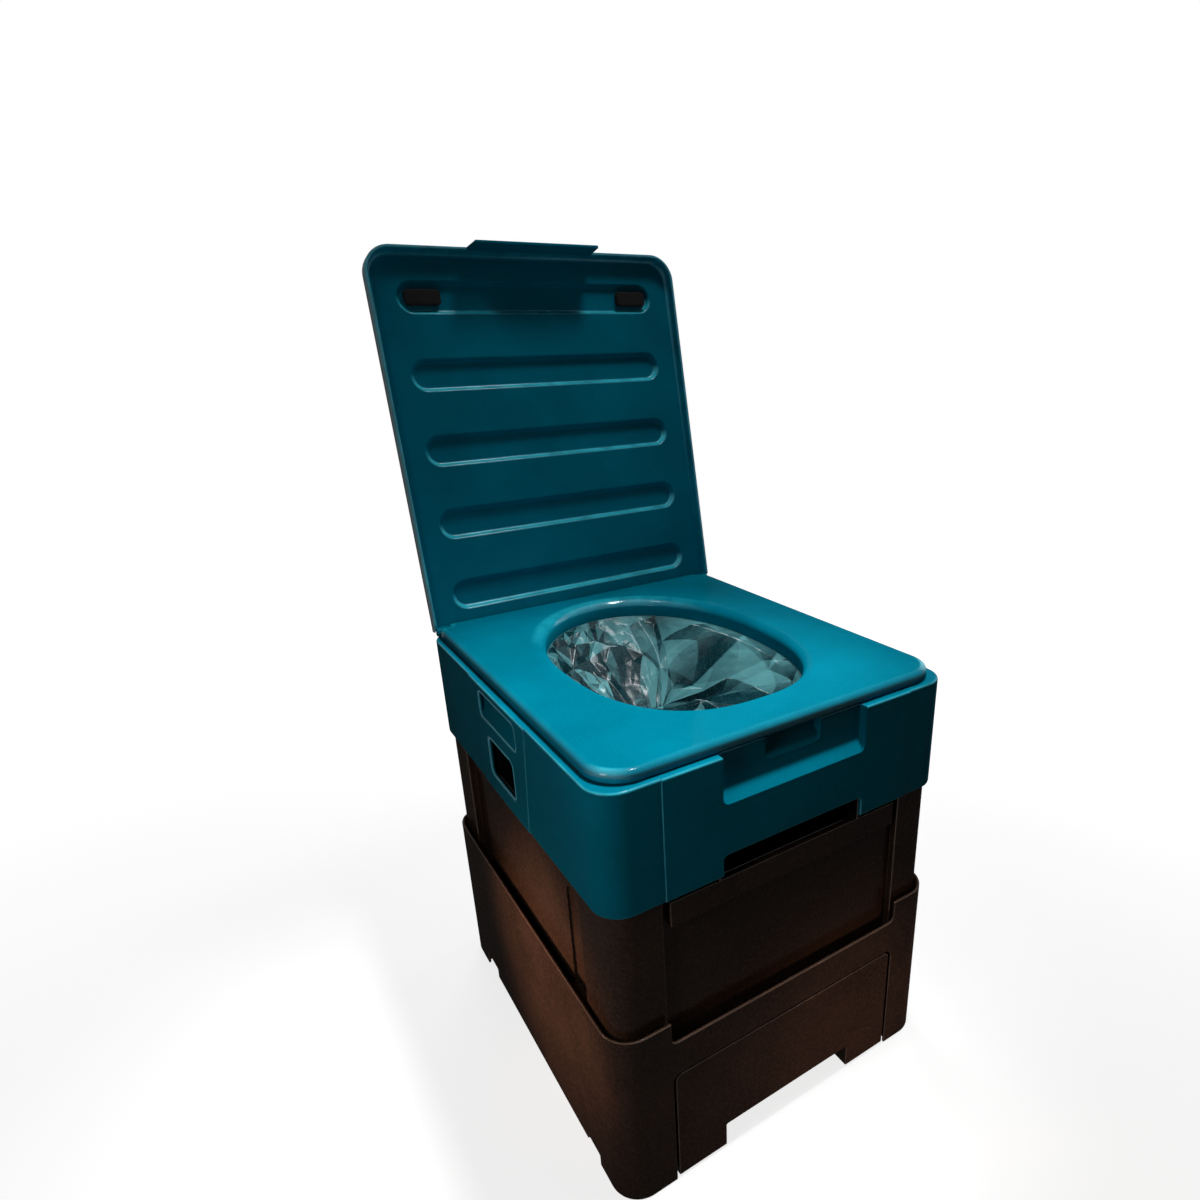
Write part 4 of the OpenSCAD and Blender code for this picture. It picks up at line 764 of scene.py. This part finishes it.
def make_seat():
    """The seat as one skin: from the collar over the rolled lip to the outer edge, and back underneath."""
    turns = [math.radians(1.25 * i) for i in range(288)]
    around = [(math.cos(t), BOWL_Y + math.sin(t)) for t in turns]

    def lip(out, z):
        return [(*lip_point(p, LIP_A - LIP_ROLL + out, LIP_B - LIP_ROLL + out), z) for p in around]

    def side(inset, z):
        return [(*p, z) for p in seat_points(inset)]

    inner = [lip(0.0, COLLAR_Z)]
    inner += [lip(LIP_ROLL * c, SEAT_TOP - ROLL_H * s) for c, s in quarter(LIP_STEPS)]
    inner.append(lip(LIP_ROLL + 3.0, SEAT_TOP))
    outer = [side(SEAT_EDGE + 2.0, SEAT_TOP)]
    outer += [side(SEAT_EDGE * c, SEAT_TOP - SEAT_EDGE * s) for c, s in reversed(quarter(EDGE_STEPS))]
    outer += [
        side(0.0, SEAT_Z + 0.8), side(0.8, SEAT_Z),
        side(SEAT_WALL, SEAT_Z), side(SEAT_WALL, SEAT_TOP - SEAT_WALL),
    ]
    under = [
        lip(LIP_ROLL + 1.5, SEAT_TOP - SEAT_WALL), lip(SEAT_WALL, SEAT_Z),
        lip(SEAT_WALL, COLLAR_Z + 0.6), lip(SEAT_WALL - 0.6, COLLAR_Z),
    ]
    # Shares of painted highlight and gloss row by row, on the lip's roll and on the outer rounding.
    roll = [min(1.0, 0.05 + k / 9) * (1.0 if k < LIP_STEPS - 1 else 0.6) for k in range(LIP_STEPS + 1)]
    edge = [0.0] + [1.0] * (EDGE_STEPS + 1) + [0.3] + [0.0] * 3
    skin = Skin()
    # Painted highlight and gloss on the lip's roll, only towards the back of the bowl.
    inner = skin.chain(inner, [
        [row_highlight * min(1.0, max(0.0, (p[1] - BOWL_Y) / 90 - 0.7)) for p in ring]
        for row_highlight, ring in zip([0.0] + roll + [0.0], inner)
    ])
    # Painted highlight and gloss on the outer rounding, most at the corners.
    outer = skin.chain(outer, [
        [row_highlight * (0.12 + 0.75 * corner_highlight_share(p)) for p in ring] for row_highlight, ring in zip(edge, outer)
    ])
    under = skin.chain(under)
    skin.fill([outer[0], inner[-1]])
    skin.fill([outer[-1], under[0]])
    skin.bridge(under[-1], inner[0])
    piece = skin.object("seat_skin")
    cut_slits(piece)
    keep_flats_flat(piece)
    stand_for(piece, "seat_plate")
    for s in (-1, 1):
        make_seat_hinge(s)


def make_seat_hinge(s):
    """Arm, reach and barrel of one seat hinge, and the boss for the lid's pin on the same side."""
    left, right = s * ARM_X - ARM_W / 2, s * ARM_X + ARM_W / 2
    low, high = sorted((s * (EAR_X - 0.5), s * (EAR_X - 21.5)))
    for part in (
        rounded_box("seat_arm", (left, SEAT_BACK - 19.0, HINGE_Z - 2.0),
                    (right, SEAT_BACK - 0.5, SEAT_TOP - SEAT_WALL + 0.5), 0.8),
        rounded_box("seat_reach", (left, SEAT_BACK - 2.0, HINGE_Z - 2.0), (right, HINGE_Y, HINGE_Z + 3.5), 0.8),
        rod_x("seat_barrel", BARREL_R, left, right, HINGE_Y, HINGE_Z, 0.8),
        rounded_box("seat_boss", (low, LID_AXIS_Y - 6.0, SEAT_Z), (high, SEAT_BACK - 0.5, SEAT_TOP - 2.0), 0.6),
    ):
        part.data.materials.append(finishes["teal_seat"])
        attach(part, "seat")


def cut_slits(piece):
    """Two narrow slits through the seat's back edge."""
    for x in (-SLIT_X, SLIT_X):
        cutter = box_mesh("slit", (x - SLIT_HALF, SEAT_BACK - SLIT_DEPTH, SEAT_Z - 2.0),
                          (x + SLIT_HALF, SEAT_BACK + 3.0, SEAT_TOP + 2.0))
        modifier = piece.modifiers.new("slit", "BOOLEAN")
        modifier.operation = "DIFFERENCE"
        modifier.solver = "EXACT"
        modifier.object = cutter
        bake(piece)
        bpy.data.objects.remove(cutter)


def make_button_spring():
    """Coil spring behind the start button, made at its rest length; the button presses it together as it goes
    in.
    """
    node = nodes["button_spring"]
    corners = [node.matrix_world @ Vector(c) / MM for c in node.bound_box]
    low, high = ([pick(c[k] for c in corners) for k in range(3)] for pick in (min, max))
    y, z = (low[1] + high[1]) / 2, (low[2] + high[2]) / 2
    length, r = high[0] - low[0], (high[1] - low[1]) / 2 - SPRING_WIRE
    rings = []
    for k in range(SPRING_STEPS + 1):
        share = k / SPRING_STEPS
        turn = 2 * math.pi * SPRING_TURNS * share
        x = low[0] + SPRING_WIRE + (length - 2 * SPRING_WIRE) * smooth(share)
        rings.append([
            (along, y + out * math.cos(turn), z + out * math.sin(turn))
            for out, along in circle(r, x, SPRING_WIRE, 8)
        ])
    skin = Skin()
    skin.tube(rings)
    piece = skin.object("button_coil")
    stand_for(piece, "button_spring")
    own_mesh(piece)


# Lid
def lid_loop(inset):
    """The lid's outline drawn in by an inset, from its near right corner round the far end."""
    right = [
        arc(LID_X - LID_NEAR_R, LID_NEAR_R, max(LID_NEAR_R - inset, 0.05), 270, 360, 6),
        arc(LID_X - LID_R, LID_LEN - LID_R, LID_R - inset, 0, 90, 20),
    ]
    corners = right + mirrored(right)
    points = []
    for part, following, count in zip(corners, corners[1:] + corners[:1], (98, 80, 98, 92)):
        points += part + between(part[-1], following[0], count)
    return points


def stadium_loop(u, width, w, inset=0.0, length=CHANNEL_LEN):
    """A channel's outline drawn in by an inset, at u along the lid and w out of it."""
    half, r = (length - width) / 2, width / 2 - inset
    right, left = arc(half, u, r, -90, 90, 18), arc(-half, u, r, 90, 270, 18)
    points = right + between(right[-1], left[0], 40) + left + between(left[-1], right[0], 40)
    return [(x, y, w) for x, y in points]


def make_lid():
    """The lid as one skin: inner face with channels, filleted skirt, and a back with raised pads."""
    fillet, lip_r, back_r, plain_r = 6.5, 1.3, 2.4, 1.2
    full = [smooth((p[1] - 0.3) / 4.5) for p in lid_loop(0.0)]

    def skirt(inset, w, plain_inset, plain_w):
        """A loop of the skirt: the full section along the sides and far edge, a plain edge along the hinge."""
        return [
            (q[0] * f + p[0] * (1 - f), q[1] * f + p[1] * (1 - f), w * f + plain_w * (1 - f))
            for q, p, f in zip(lid_loop(inset), lid_loop(plain_inset), full)
        ]

    loops = [skirt(LID_WALL + fillet * s, fillet * c, 1.0 - 0.8 * k / 8, -0.02 * k)
             for k, (c, s) in enumerate(quarter(8))]
    loops += [skirt(LID_WALL - lip_r * c, LID_LIP - lip_r * s, 0.2 - 0.02 * k, -0.2 - 0.05 * k)
              for k, (c, s) in enumerate(quarter(6))]
    loops += [skirt(lip_r * s, LID_LIP - lip_r * c, 0.05, -0.5 - 0.05 * k)
              for k, (c, s) in enumerate(quarter(6)) if k > 0]
    loops.append(skirt(0.0, 1.0, 0.0, -0.9))
    loops += [skirt(back_r * c, -LID_T + back_r * s, plain_r * c, -LID_T + plain_r * s) for c, s in quarter(6)]
    skin = Skin()
    # Painted highlight and gloss along the skirt's lip.
    rows = skin.chain(loops, [0.0] * 3 + [0.4] * 6 + [0.8] * 13 + [0.4] * 6 + [0.0] * 2)
    holes, pads = [], []
    for u in CHANNELS:
        holes.append(channel(skin, u))
        pads.append(pad(skin, u))
    skin.fill([rows[0]] + holes)
    skin.fill([rows[-1]] + pads)
    for s in (-1, 1):
        add_knuckle(skin, *sorted((s * (EAR_X + 0.5), s * (LID_X - LID_WALL + 1.0))))
    piece = skin.object("lid_skin", lid_place())
    keep_flats_flat(piece)
    stand_for(piece, "lid_shell")
    for part in [make_tab()] + make_lid_marks():
        part.data.materials.append(finishes["teal_lid"])
        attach(part, "lid")


def lid_place():
    """Carries the lid's own frame into the open lid's place, in metres."""
    return (
        Matrix.Translation(Vector((0, LID_AXIS_Y, LID_AXIS_Z)) * MM)
        @ Matrix.Rotation(math.radians(90 - LID_LEAN), 4, "X")
        @ Matrix.Translation(Vector((0, -LID_AXIS_U, -LID_OFFSET)) * MM)
    )


def channel(skin, u):
    """A channel's rounded edge, sloping wall, filleted bottom and floor. Gives back its edge on the inner face.

    The wall nearer the hinge catches the light, so it carries a painted highlight and the most gloss.
    """
    edge_r, floor_r, in_by, slope = 2.8, 3.0, 1.2, 1.9
    loops = [stadium_loop(u, CHANNEL_W, -edge_r * c, in_by - edge_r * s) for c, s in quarter(4)]
    loops += [stadium_loop(u, CHANNEL_W, -CHANNEL_DEPTH + floor_r * s, slope + floor_r * c)
              for c, s in quarter(6)]
    middle = sum(p[1] for p in loops[0]) / len(loops[0])
    reach = max(p[1] for p in loops[0]) - middle
    # Painted highlight along the rounding, on the side nearer the hinge only.
    share = [0.0, 0.6, 1.2] + [1.8] * 6 + [1.2, 0.6, 0.0]
    rows = skin.chain(loops, [
        [share[k] * min(1.0, max(0.0, 0.2 + 1.6 * (middle - p[1]) / reach)) for p in loop]
        for k, loop in enumerate(loops)
    ])
    skin.fill([rows[-1]])
    return rows[0]


def pad(skin, u):
    """The back of a channel, raised from the lid's back with a filleted foot and a rounded edge."""
    length, width, top = CHANNEL_LEN + 2 * PAD_WALL, CHANNEL_W + 2 * PAD_WALL, -CHANNEL_DEPTH - PAD_WALL
    foot, edge = 2.0, 2.2
    loops = [stadium_loop(u, width, -LID_T - foot * c, -foot * s, length) for c, s in quarter(4)]
    loops += [stadium_loop(u, width, top + edge * s, edge * c, length) for c, s in quarter(5)]
    rows = skin.chain(loops)
    skin.fill([rows[-1]])
    return rows[0]


def add_knuckle(skin, low, high):
    """Knuckle of the lid's hinge with its web down to the panel, as one rounded profile drawn out along x."""
    r, cu, cw = KNUCKLE_R, LID_AXIS_U, LID_OFFSET
    outline = arc(cu, cw, r, -10, 194, 34) + [(0.9, 0.3), (0.6, -0.5), (5.9, -0.5), (5.9, 2.0)]
    ends = ((0.0, 0.5), (0.15, 0.15), (0.5, 0.0))
    rings = []
    for x, shrink in [(low + d, by) for d, by in ends] + [(high - d, by) for d, by in reversed(ends)]:
        ring = []
        for pu, pw in outline:
            du, dw = pu - cu, pw - cw
            size = math.hypot(du, dw)
            ring.append((x, cu + du * (size - shrink) / size, cw + dw * (size - shrink) / size))
        rings.append(ring)
    skin.tube(rings)


def make_tab():
    """Tab of the far edge, a little narrower at its end."""
    low = LID_LIP - 3.0
    outline = [(-TAB_HALF, low), (TAB_HALF, low), (TAB_END_HALF, TAB_REACH), (-TAB_END_HALF, TAB_REACH)]
    skin = Skin()
    skin.tube([[(x, u, w) for x, w in outline] for u in (TAB_U, TAB_U + TAB_T)])
    return rounded(skin.object("lid_tab", lid_place()), 1.1, 4)


def make_lid_marks():
    """The round mark of the moulding gate and faint ejector marks on the inner face."""
    places = [(0.0, 204.0, 2.4)] + [(x, u, 4.0) for x in (-168.0, 168.0) for u in (79.0, 162.0, 245.0, 328.0)]
    profile = ((0.25, -0.05), (0.15, 0.05), (0.0, 0.09), (-0.25, 0.05), (-0.45, 0.02))
    marks = []
    for i, (x, u, r) in enumerate(places):
        skin = Skin()
        rows = skin.chain([[(*p, w) for p in circle(x, u, r + grow, 32)] for grow, w in profile])
        skin.fill([rows[-1]])
        marks.append(skin.object(f"lid_mark_{i}", lid_place()))
    return marks


def frame_loop(half, low, high, r, inset, x):
    """A rounded rectangle in the plane of a side, drawn in by an inset."""
    half, low, high, r = half - inset, low + inset, high - inset, r - inset
    y, bottom, top = half - r, low + r, high - r
    corners = (y, top, 0), (-y, top, 90), (-y, bottom, 180), (y, bottom, 270)
    return [(x, *p) for cy, cz, start in corners for p in arc(cy, cz, r, start, start + 90, 12)]


def make_frames():
    """Rounded frames just inside the grip scoops and the port, flush with the case's sides."""
    face, depth = CASE_X + 0.95, 2.8
    scoop = (51.0, 404.0, 436.0, 8.0)
    for name, side, outline, width in (
        ("scoop_frame_left", -1, scoop, 3.0), ("scoop_frame_right", 1, scoop, 3.0),
        ("port_frame", -1, (35.0, 345.0, 390.0, 9.0), 2.6),
    ):
        loops = [frame_loop(*outline, -0.3, side * (face - depth))]
        for a in (math.pi * k / 10 for k in range(11)):
            inset, sunk = width / 2 * (1 - math.cos(a)), width / 2 * (1 - math.sin(a))
            loops.append(frame_loop(*outline, inset, side * (face - sunk)))
        loops.append(frame_loop(*outline, width, side * (face - depth)))
        skin = Skin()
        # Painted highlight and gloss along the frame's rounded top.
        rows = skin.chain(loops, [0.0, 0.2, 0.4, 0.8] + [1.5] * 5 + [0.8, 0.4, 0.2, 0.0])
        skin.bridge(rows[-1], rows[0])
        piece = skin.object(name)
        piece.data.materials.append(finishes["teal_case"])
        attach(piece, nodes["case_shell"]["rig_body"])


# Film
def crumple(rng, around, down, n_around, n_down, height):
    """Random flat facets on a grid in millimetres that closes around: their heights, and a tone for each."""
    length, depth = around[-1] + (around[1] - around[0]), down[-1]
    base = [
        ((i + 0.5 * (j % 2) + rng.uniform(-0.42, 0.42)) * length / n_around,
         (j + rng.uniform(-0.38, 0.38)) * depth / n_down, rng.uniform(-1.0, 1.0) * height)
        for j in range(-1, n_down + 2) for i in range(n_around)
    ]
    spots = [(x + shift * length, y, h) for shift in (-1, 0, 1) for x, y, h in base]
    flat = [Vector((x, y)) for x, y, _ in spots]
    _, _, faces, source, _, _ = delaunay_2d_cdt(flat, [], [], 0, 1e-7)
    grid = np.zeros((len(down), len(around)))
    tones = np.zeros_like(grid)
    for face in faces:
        a, b, c = (np.array(spots[source[v][0]]) for v in face)
        lo, hi = np.minimum(np.minimum(a, b), c), np.maximum(np.maximum(a, b), c)
        i0, i1 = np.searchsorted(around, (lo[0], hi[0] + 1e-9))
        j0, j1 = np.searchsorted(down, (lo[1], hi[1] + 1e-9))
        area = (b[0] - a[0]) * (c[1] - a[1]) - (c[0] - a[0]) * (b[1] - a[1])
        if i0 >= i1 or j0 >= j1 or abs(area) < 1e-9:
            continue
        x, y = np.meshgrid(around[i0:i1], down[j0:j1])
        v = ((x - a[0]) * (c[1] - a[1]) - (c[0] - a[0]) * (y - a[1])) / area
        w = ((b[0] - a[0]) * (y - a[1]) - (x - a[0]) * (b[1] - a[1])) / area
        within = (v >= -1e-9) & (w >= -1e-9) & (v + w <= 1 + 1e-9)
        grid[j0:j1, i0:i1][within] = (a[2] + v * (b[2] - a[2]) + w * (c[2] - a[2]))[within]
        tones[j0:j1, i0:i1][within] = rng.uniform(0.0, 1.0)
    return grid, tones


def funnel(angle, level):
    """Places on the film before it is creased: an oval at the top that closes to a flat neck."""
    n = np.where(np.sin(angle) < 0, LIP_N_FRONT, LIP_N_BACK)
    n = n + (NECK_N - n) * level * level
    a = FILM_A + (NECK_A - FILM_A) * level
    b = FILM_B + (NECK_T / 2 - FILM_B) * level
    c, s = np.cos(angle), np.sin(angle)
    return np.stack([
        a * np.sign(c) * np.abs(c) ** (2 / n),
        BOWL_Y + (NECK_Y - BOWL_Y) * level + b * np.sign(s) * np.abs(s) ** (2 / n),
        FILM_TOP - (FILM_TOP - NECK_TOP) * level,
    ], 2)


def make_film():
    """The film: broad facets on the right and back, narrow pleats on the left, gathered at the neck."""
    rng = np.random.default_rng(FILM_SEED)
    turn = np.arange(FILM_AROUND) * 2 * math.pi / FILM_AROUND
    share = np.linspace(0.0, 1.0, FILM_DOWN)
    around, down = turn / (2 * math.pi) * FILM_GIRTH, share * FILM_DEPTH
    angle, level = np.meshgrid(turn, share)
    left = np.clip(np.cos(angle - math.radians(PLEATS_AT)) * 2.4 - 0.75, 0, 1)
    broad, broad_tone = crumple(rng, around, down, 13, 3, 10.0)
    middle, middle_tone = crumple(rng, around, down, 26, 1, 8.5)
    small, small_tone = crumple(rng, around, down, 100, 14, 0.9)
    pleats, pleat_tone = crumple(rng, around, down, 80, 1, 5.5)
    fine, fine_tone = crumple(rng, around, down, 170, 3, 1.4)
    start = np.clip(level / 0.07, 0, 1)
    ease = start * np.clip((1.0 - level) / 0.35, 0, 1)
    near_rim = start * np.clip(1 - level / 0.3, 0, 1)
    gathers = np.clip((1 - level) / 0.12, 0, 1) * level * (1 - 0.5 * left)
    folds = ease * (broad * (1 - 0.8 * left) + middle * (1 - 0.5 * left)) + ease * (pleats + fine) * left
    folds = folds + gathers * pleats * 0.5
    out = folds + small * (0.5 * ease + 1.1 * near_rim)
    # A tone for each facet: random, with painted shade too, lighter where the folds stand high and darker among
    # the pleats on the left.
    facets = 0.45 * broad_tone + 0.35 * middle_tone + 0.04 * small_tone + 0.06 + broad / 50.0 + middle / 40.0
    film_tone_and_shade = (1 - left) * facets + left * (0.72 * pleat_tone + 0.4 * fine_tone - 0.22)
    base = funnel(angle, level)
    along = np.roll(base, -1, 1) - np.roll(base, 1, 1)
    inward = np.cross(np.gradient(base, axis=0), along)
    inward /= np.maximum(np.linalg.norm(inward, axis=2, keepdims=True), 1e-9)
    middle_line = np.stack([0 * level, BOWL_Y + (NECK_Y - BOWL_Y) * level, base[:, :, 2]], 2)
    inward *= np.sign(np.sum(inward * (middle_line - base), axis=2, keepdims=True))
    room = 0.8 * np.linalg.norm(middle_line - base, axis=2)
    places = base + inward * np.clip(out, -6.5, room)[:, :, None]
    places[:, :, 2] = np.minimum(places[:, :, 2], FILM_TOP)
    folds = folds + 0.5 * small * near_rim
    bend = (np.roll(folds, 1, 1) + np.roll(folds, -1, 1) - 2 * folds) / (around[1] ** 2)
    bend[1:-1] += (folds[2:] + folds[:-2] - 2 * folds[1:-1]) / (down[1] ** 2)
    rim = funnel(turn[None, :], np.zeros((1, FILM_AROUND)))[0]
    away = rim[:, :2] - (0.0, BOWL_Y)
    away /= np.linalg.norm(away, axis=1, keepdims=True)
    rows = [np.column_stack([rim[:, :2] + away * grow, rim[:, 2] + rise]) for grow, rise in FILM_FLANGE]
    rows += list(places)
    sway = np.sin(9 * turn) * 0.3
    for drop, swell in FILM_TAIL:
        shift = [swell * sway, 0.1 * swell * sway, np.full(FILM_AROUND, -drop)]
        rows.append(places[-1] + np.column_stack(shift))
    skin = Skin()
    skin.chain([row.tolist() for row in rows])
    piece = skin.object("film_funnel", weld=1e-8)
    if len(piece.data.vertices) != len(rows) * FILM_AROUND:
        raise ValueError("the film's points have changed")
    for name, values in (("ridge", np.clip(-bend, -1.5, 1.5)), ("tone_and_shade", film_tone_and_shade - 0.5)):
        field = np.zeros((len(rows), FILM_AROUND))
        field[len(FILM_FLANGE):len(FILM_FLANGE) + FILM_DOWN] = values
        kept = piece.data.attributes.new(name, "FLOAT", "POINT")
        kept.data.foreach_set("value", field.astype(np.float32).ravel())
    stand_for(piece, "liner_film")


# Stage
WHITE = (1.0, 1.0, 1.0)


def add_lamp(name, data, place, target, power, colour=WHITE):
    """Puts a lamp in its place, turned to its target. What it lights is seen, the lamp isn't."""
    data.energy = power
    data.color = colour
    made = added(name, data)
    made.location = place
    made.visible_camera = False
    made.rotation_mode = "QUATERNION"
    made.rotation_quaternion = (Vector(target) - made.location).to_track_quat("-Z", "Y")


def area_light(name, place, target, size, power):
    data = bpy.data.lights.new(name, "AREA")
    data.shape = "RECTANGLE"
    data.size, data.size_y = size
    add_lamp(name, data, place, target, power)


def spot_light(name, place, target, cone, blend, radius, power, colour=WHITE):
    data = bpy.data.lights.new(name, "SPOT")
    data.spot_size = math.radians(cone)
    data.spot_blend = blend
    data.shadow_soft_size = radius
    add_lamp(name, data, place, target, power, colour)


def seen_directly(tree):
    """1 for what is seen, straight or in a reflection, and 0 for the light that falls on things."""
    path = tree.nodes.new("ShaderNodeLightPath")
    value = path.outputs["Is Camera Ray"]
    for name in ("Is Glossy Ray", "Is Transmission Ray"):
        value = maths(tree, "MAXIMUM", value, path.outputs[name])
    return value


def make_floor():
    """A floor that looks white, and is dark and warm to the light that falls on things."""
    half, z = 6.0, -0.0004
    mesh = bpy.data.meshes.new("floor")
    corners = [(-half, -half, z), (half, -half, z), (half, half, z), (-half, half, z)]
    mesh.from_pydata(corners, [], [(0, 1, 2, 3)])
    made, tree, shader = material("floor")
    seen = seen_directly(tree)
    away = tree.nodes.new("ShaderNodeVectorMath")
    away.operation = "LENGTH"
    tree.links.new(place_of(tree), away.inputs[0])
    glow = remap(tree, away.outputs["Value"], 0.5, 1.6, 0.80, 1.0)
    set_inputs(tree, shader, {
        "Base Color": mixed(tree, seen, (0.13, 0.092, 0.075), (0.45, 0.45, 0.45)),
        "Roughness": 0.9,
        "Specular IOR Level": 0.0,
        "Emission Color": (*WHITE, 1.0),
        "Emission Strength": maths(tree, "MULTIPLY", seen, glow),
    })
    mesh.materials.append(made)
    added("floor", mesh)


def make_world():
    """White where it is seen, and a faint light on things."""
    world = bpy.data.worlds.new("studio")
    world.use_nodes = True
    scene.world = world
    tree = world.node_tree
    strength = remap(tree, seen_directly(tree), 0.0, 1.0, 0.0105, 1.0)
    set_inputs(tree, tree.nodes["Background"], {"Color": (*WHITE, 1.0), "Strength": strength})


def make_lamps():
    spot_light("key", (0.14, -0.226, 1.55), (-0.12, -0.145, 0.45), 40.0, 0.9, 0.07, 50.0)
    spot_light("front", (0.10, -0.42, 1.50), (0.02, -0.20, 0.42), 26.0, 0.8, 0.05, 3.2)
    spot_light("back", (0.20, 0.05, 1.55), (0.03, 0.09, 0.50), 54.0, 0.8, 0.09, 10.0)
    spot_light("lid", (-0.30, 0.15, 1.45), (-0.07, 0.27, 0.76), 40.0, 1.0, 0.06, 2.2)
    area_light("side", (-0.54, -0.31, 0.54), (-0.19, -0.22, 0.40), (0.12, 0.22), 0.35)
    area_light("fill_back", (0.35, 1.30, 1.05), (0.0, 0.20, 0.50), (0.9, 0.9), 7.0)
    area_light("fill_right", (1.35, 0.25, 0.75), (0.19, 0.0, 0.35), (0.8, 0.8), 4.5)
    spot_light("glow_left", (-0.72, 0.03, 0.32), (-0.19, -0.06, 0.16), 36.0, 1.0, 0.04, 10.5, (1.0, 0.60, 0.40))
    spot_light("glow_front", (0.45, -0.95, 0.10), (0.07, -0.218, 0.07), 24.0, 1.0, 0.05, 6.5, (1.0, 0.62, 0.42))


def make_camera():
    """The photo's viewpoint, as fitted to the object's straight edges."""
    az, el, roll = (math.radians(v) for v in (-32.54, 20.76, -1.49))
    back = Vector((math.sin(az) * math.cos(el), -math.cos(az) * math.cos(el), math.sin(el)))
    right = Vector((math.cos(az), math.sin(az), 0.0))
    up = back.cross(right)
    c, s = math.cos(roll), math.sin(roll)
    right, up = c * right + s * up, -s * right + c * up
    data = bpy.data.cameras.new("camera")
    data.sensor_width = 36.0
    data.lens = 23.14
    data.shift_x, data.shift_y = -0.0755, 0.0315
    data.clip_start, data.clip_end = 0.05, 50.0
    camera = added("camera", data)
    turned = Matrix((right, up, back)).transposed().to_4x4()
    camera.matrix_world = Matrix.Translation((-0.3919, -0.6620, 0.7513)) @ turned
    scene.camera = camera


# The object
def case_edges(middle, width):
    """Wider rounding round the rim's outer edge, and a crisp one inside the case."""
    x, y, z = middle
    over_x, over_y = abs(x) - (CASE_X - CASE_R), abs(y) - (CASE_Y - CASE_R)
    corner = over_x > 0 and over_y > 0
    inset = CASE_R - (math.hypot(over_x, over_y) if corner else max(over_x, over_y))
    if z > RIM_Z - 0.5:
        return RIM_OUTER_EDGE if inset < 2.2 else RIM_INNER_EDGE
    return INSIDE_EDGE if inset > 24.0 else width


# Rounding of the nodes that get none of their own
EDGES = {
    "base_shell": 1.4, "drawer_front": 1.2, "drawer_tub": 0.8, "drawer_runners": 0.4, "body_shell": 1.4,
    "front_band": 0.6, "grip_pocket": 0.8, "case_deck": 0.6, "drop_chute": 0.6, "seal_frame": 0.5,
    "motor_bracket": 0.5, "gearmotor": 0.8, "cassette_shelf": 0.6, "cassette_tray": 0.7, "liner_pack": 1.2,
    "cassette_cover": 0.6, "port_bay": 0.8, "button_switch": 0.4, "control_box": 1.2, "hinge_brackets": 0.8,
    "lid_bumpers": 2.0, "jaw_rear": 1.2, "heater_bar": 0.4, "jaw_front": 1.2, "seal_pad": 0.6,
    "pulley_left": 0.5, "pulley_right": 0.5, "seat_buffers": 0.4, "sync_belt": 0.3,
}

make_camera()
make_floor()
make_world()
make_lamps()
scene.view_settings.view_transform = "Standard"
dressed("case_shell", CASE_EDGE, wanted=case_edges)
for node, width in EDGES.items():
    dressed(node, width)
make_seat()
make_lid()
make_film()
make_frames()
make_button_spring()
for name, node in nodes.items():
    if not node.hide_render:
        node.data.materials.clear()
        node.data.materials.append(finishes[SLOTS[name]])
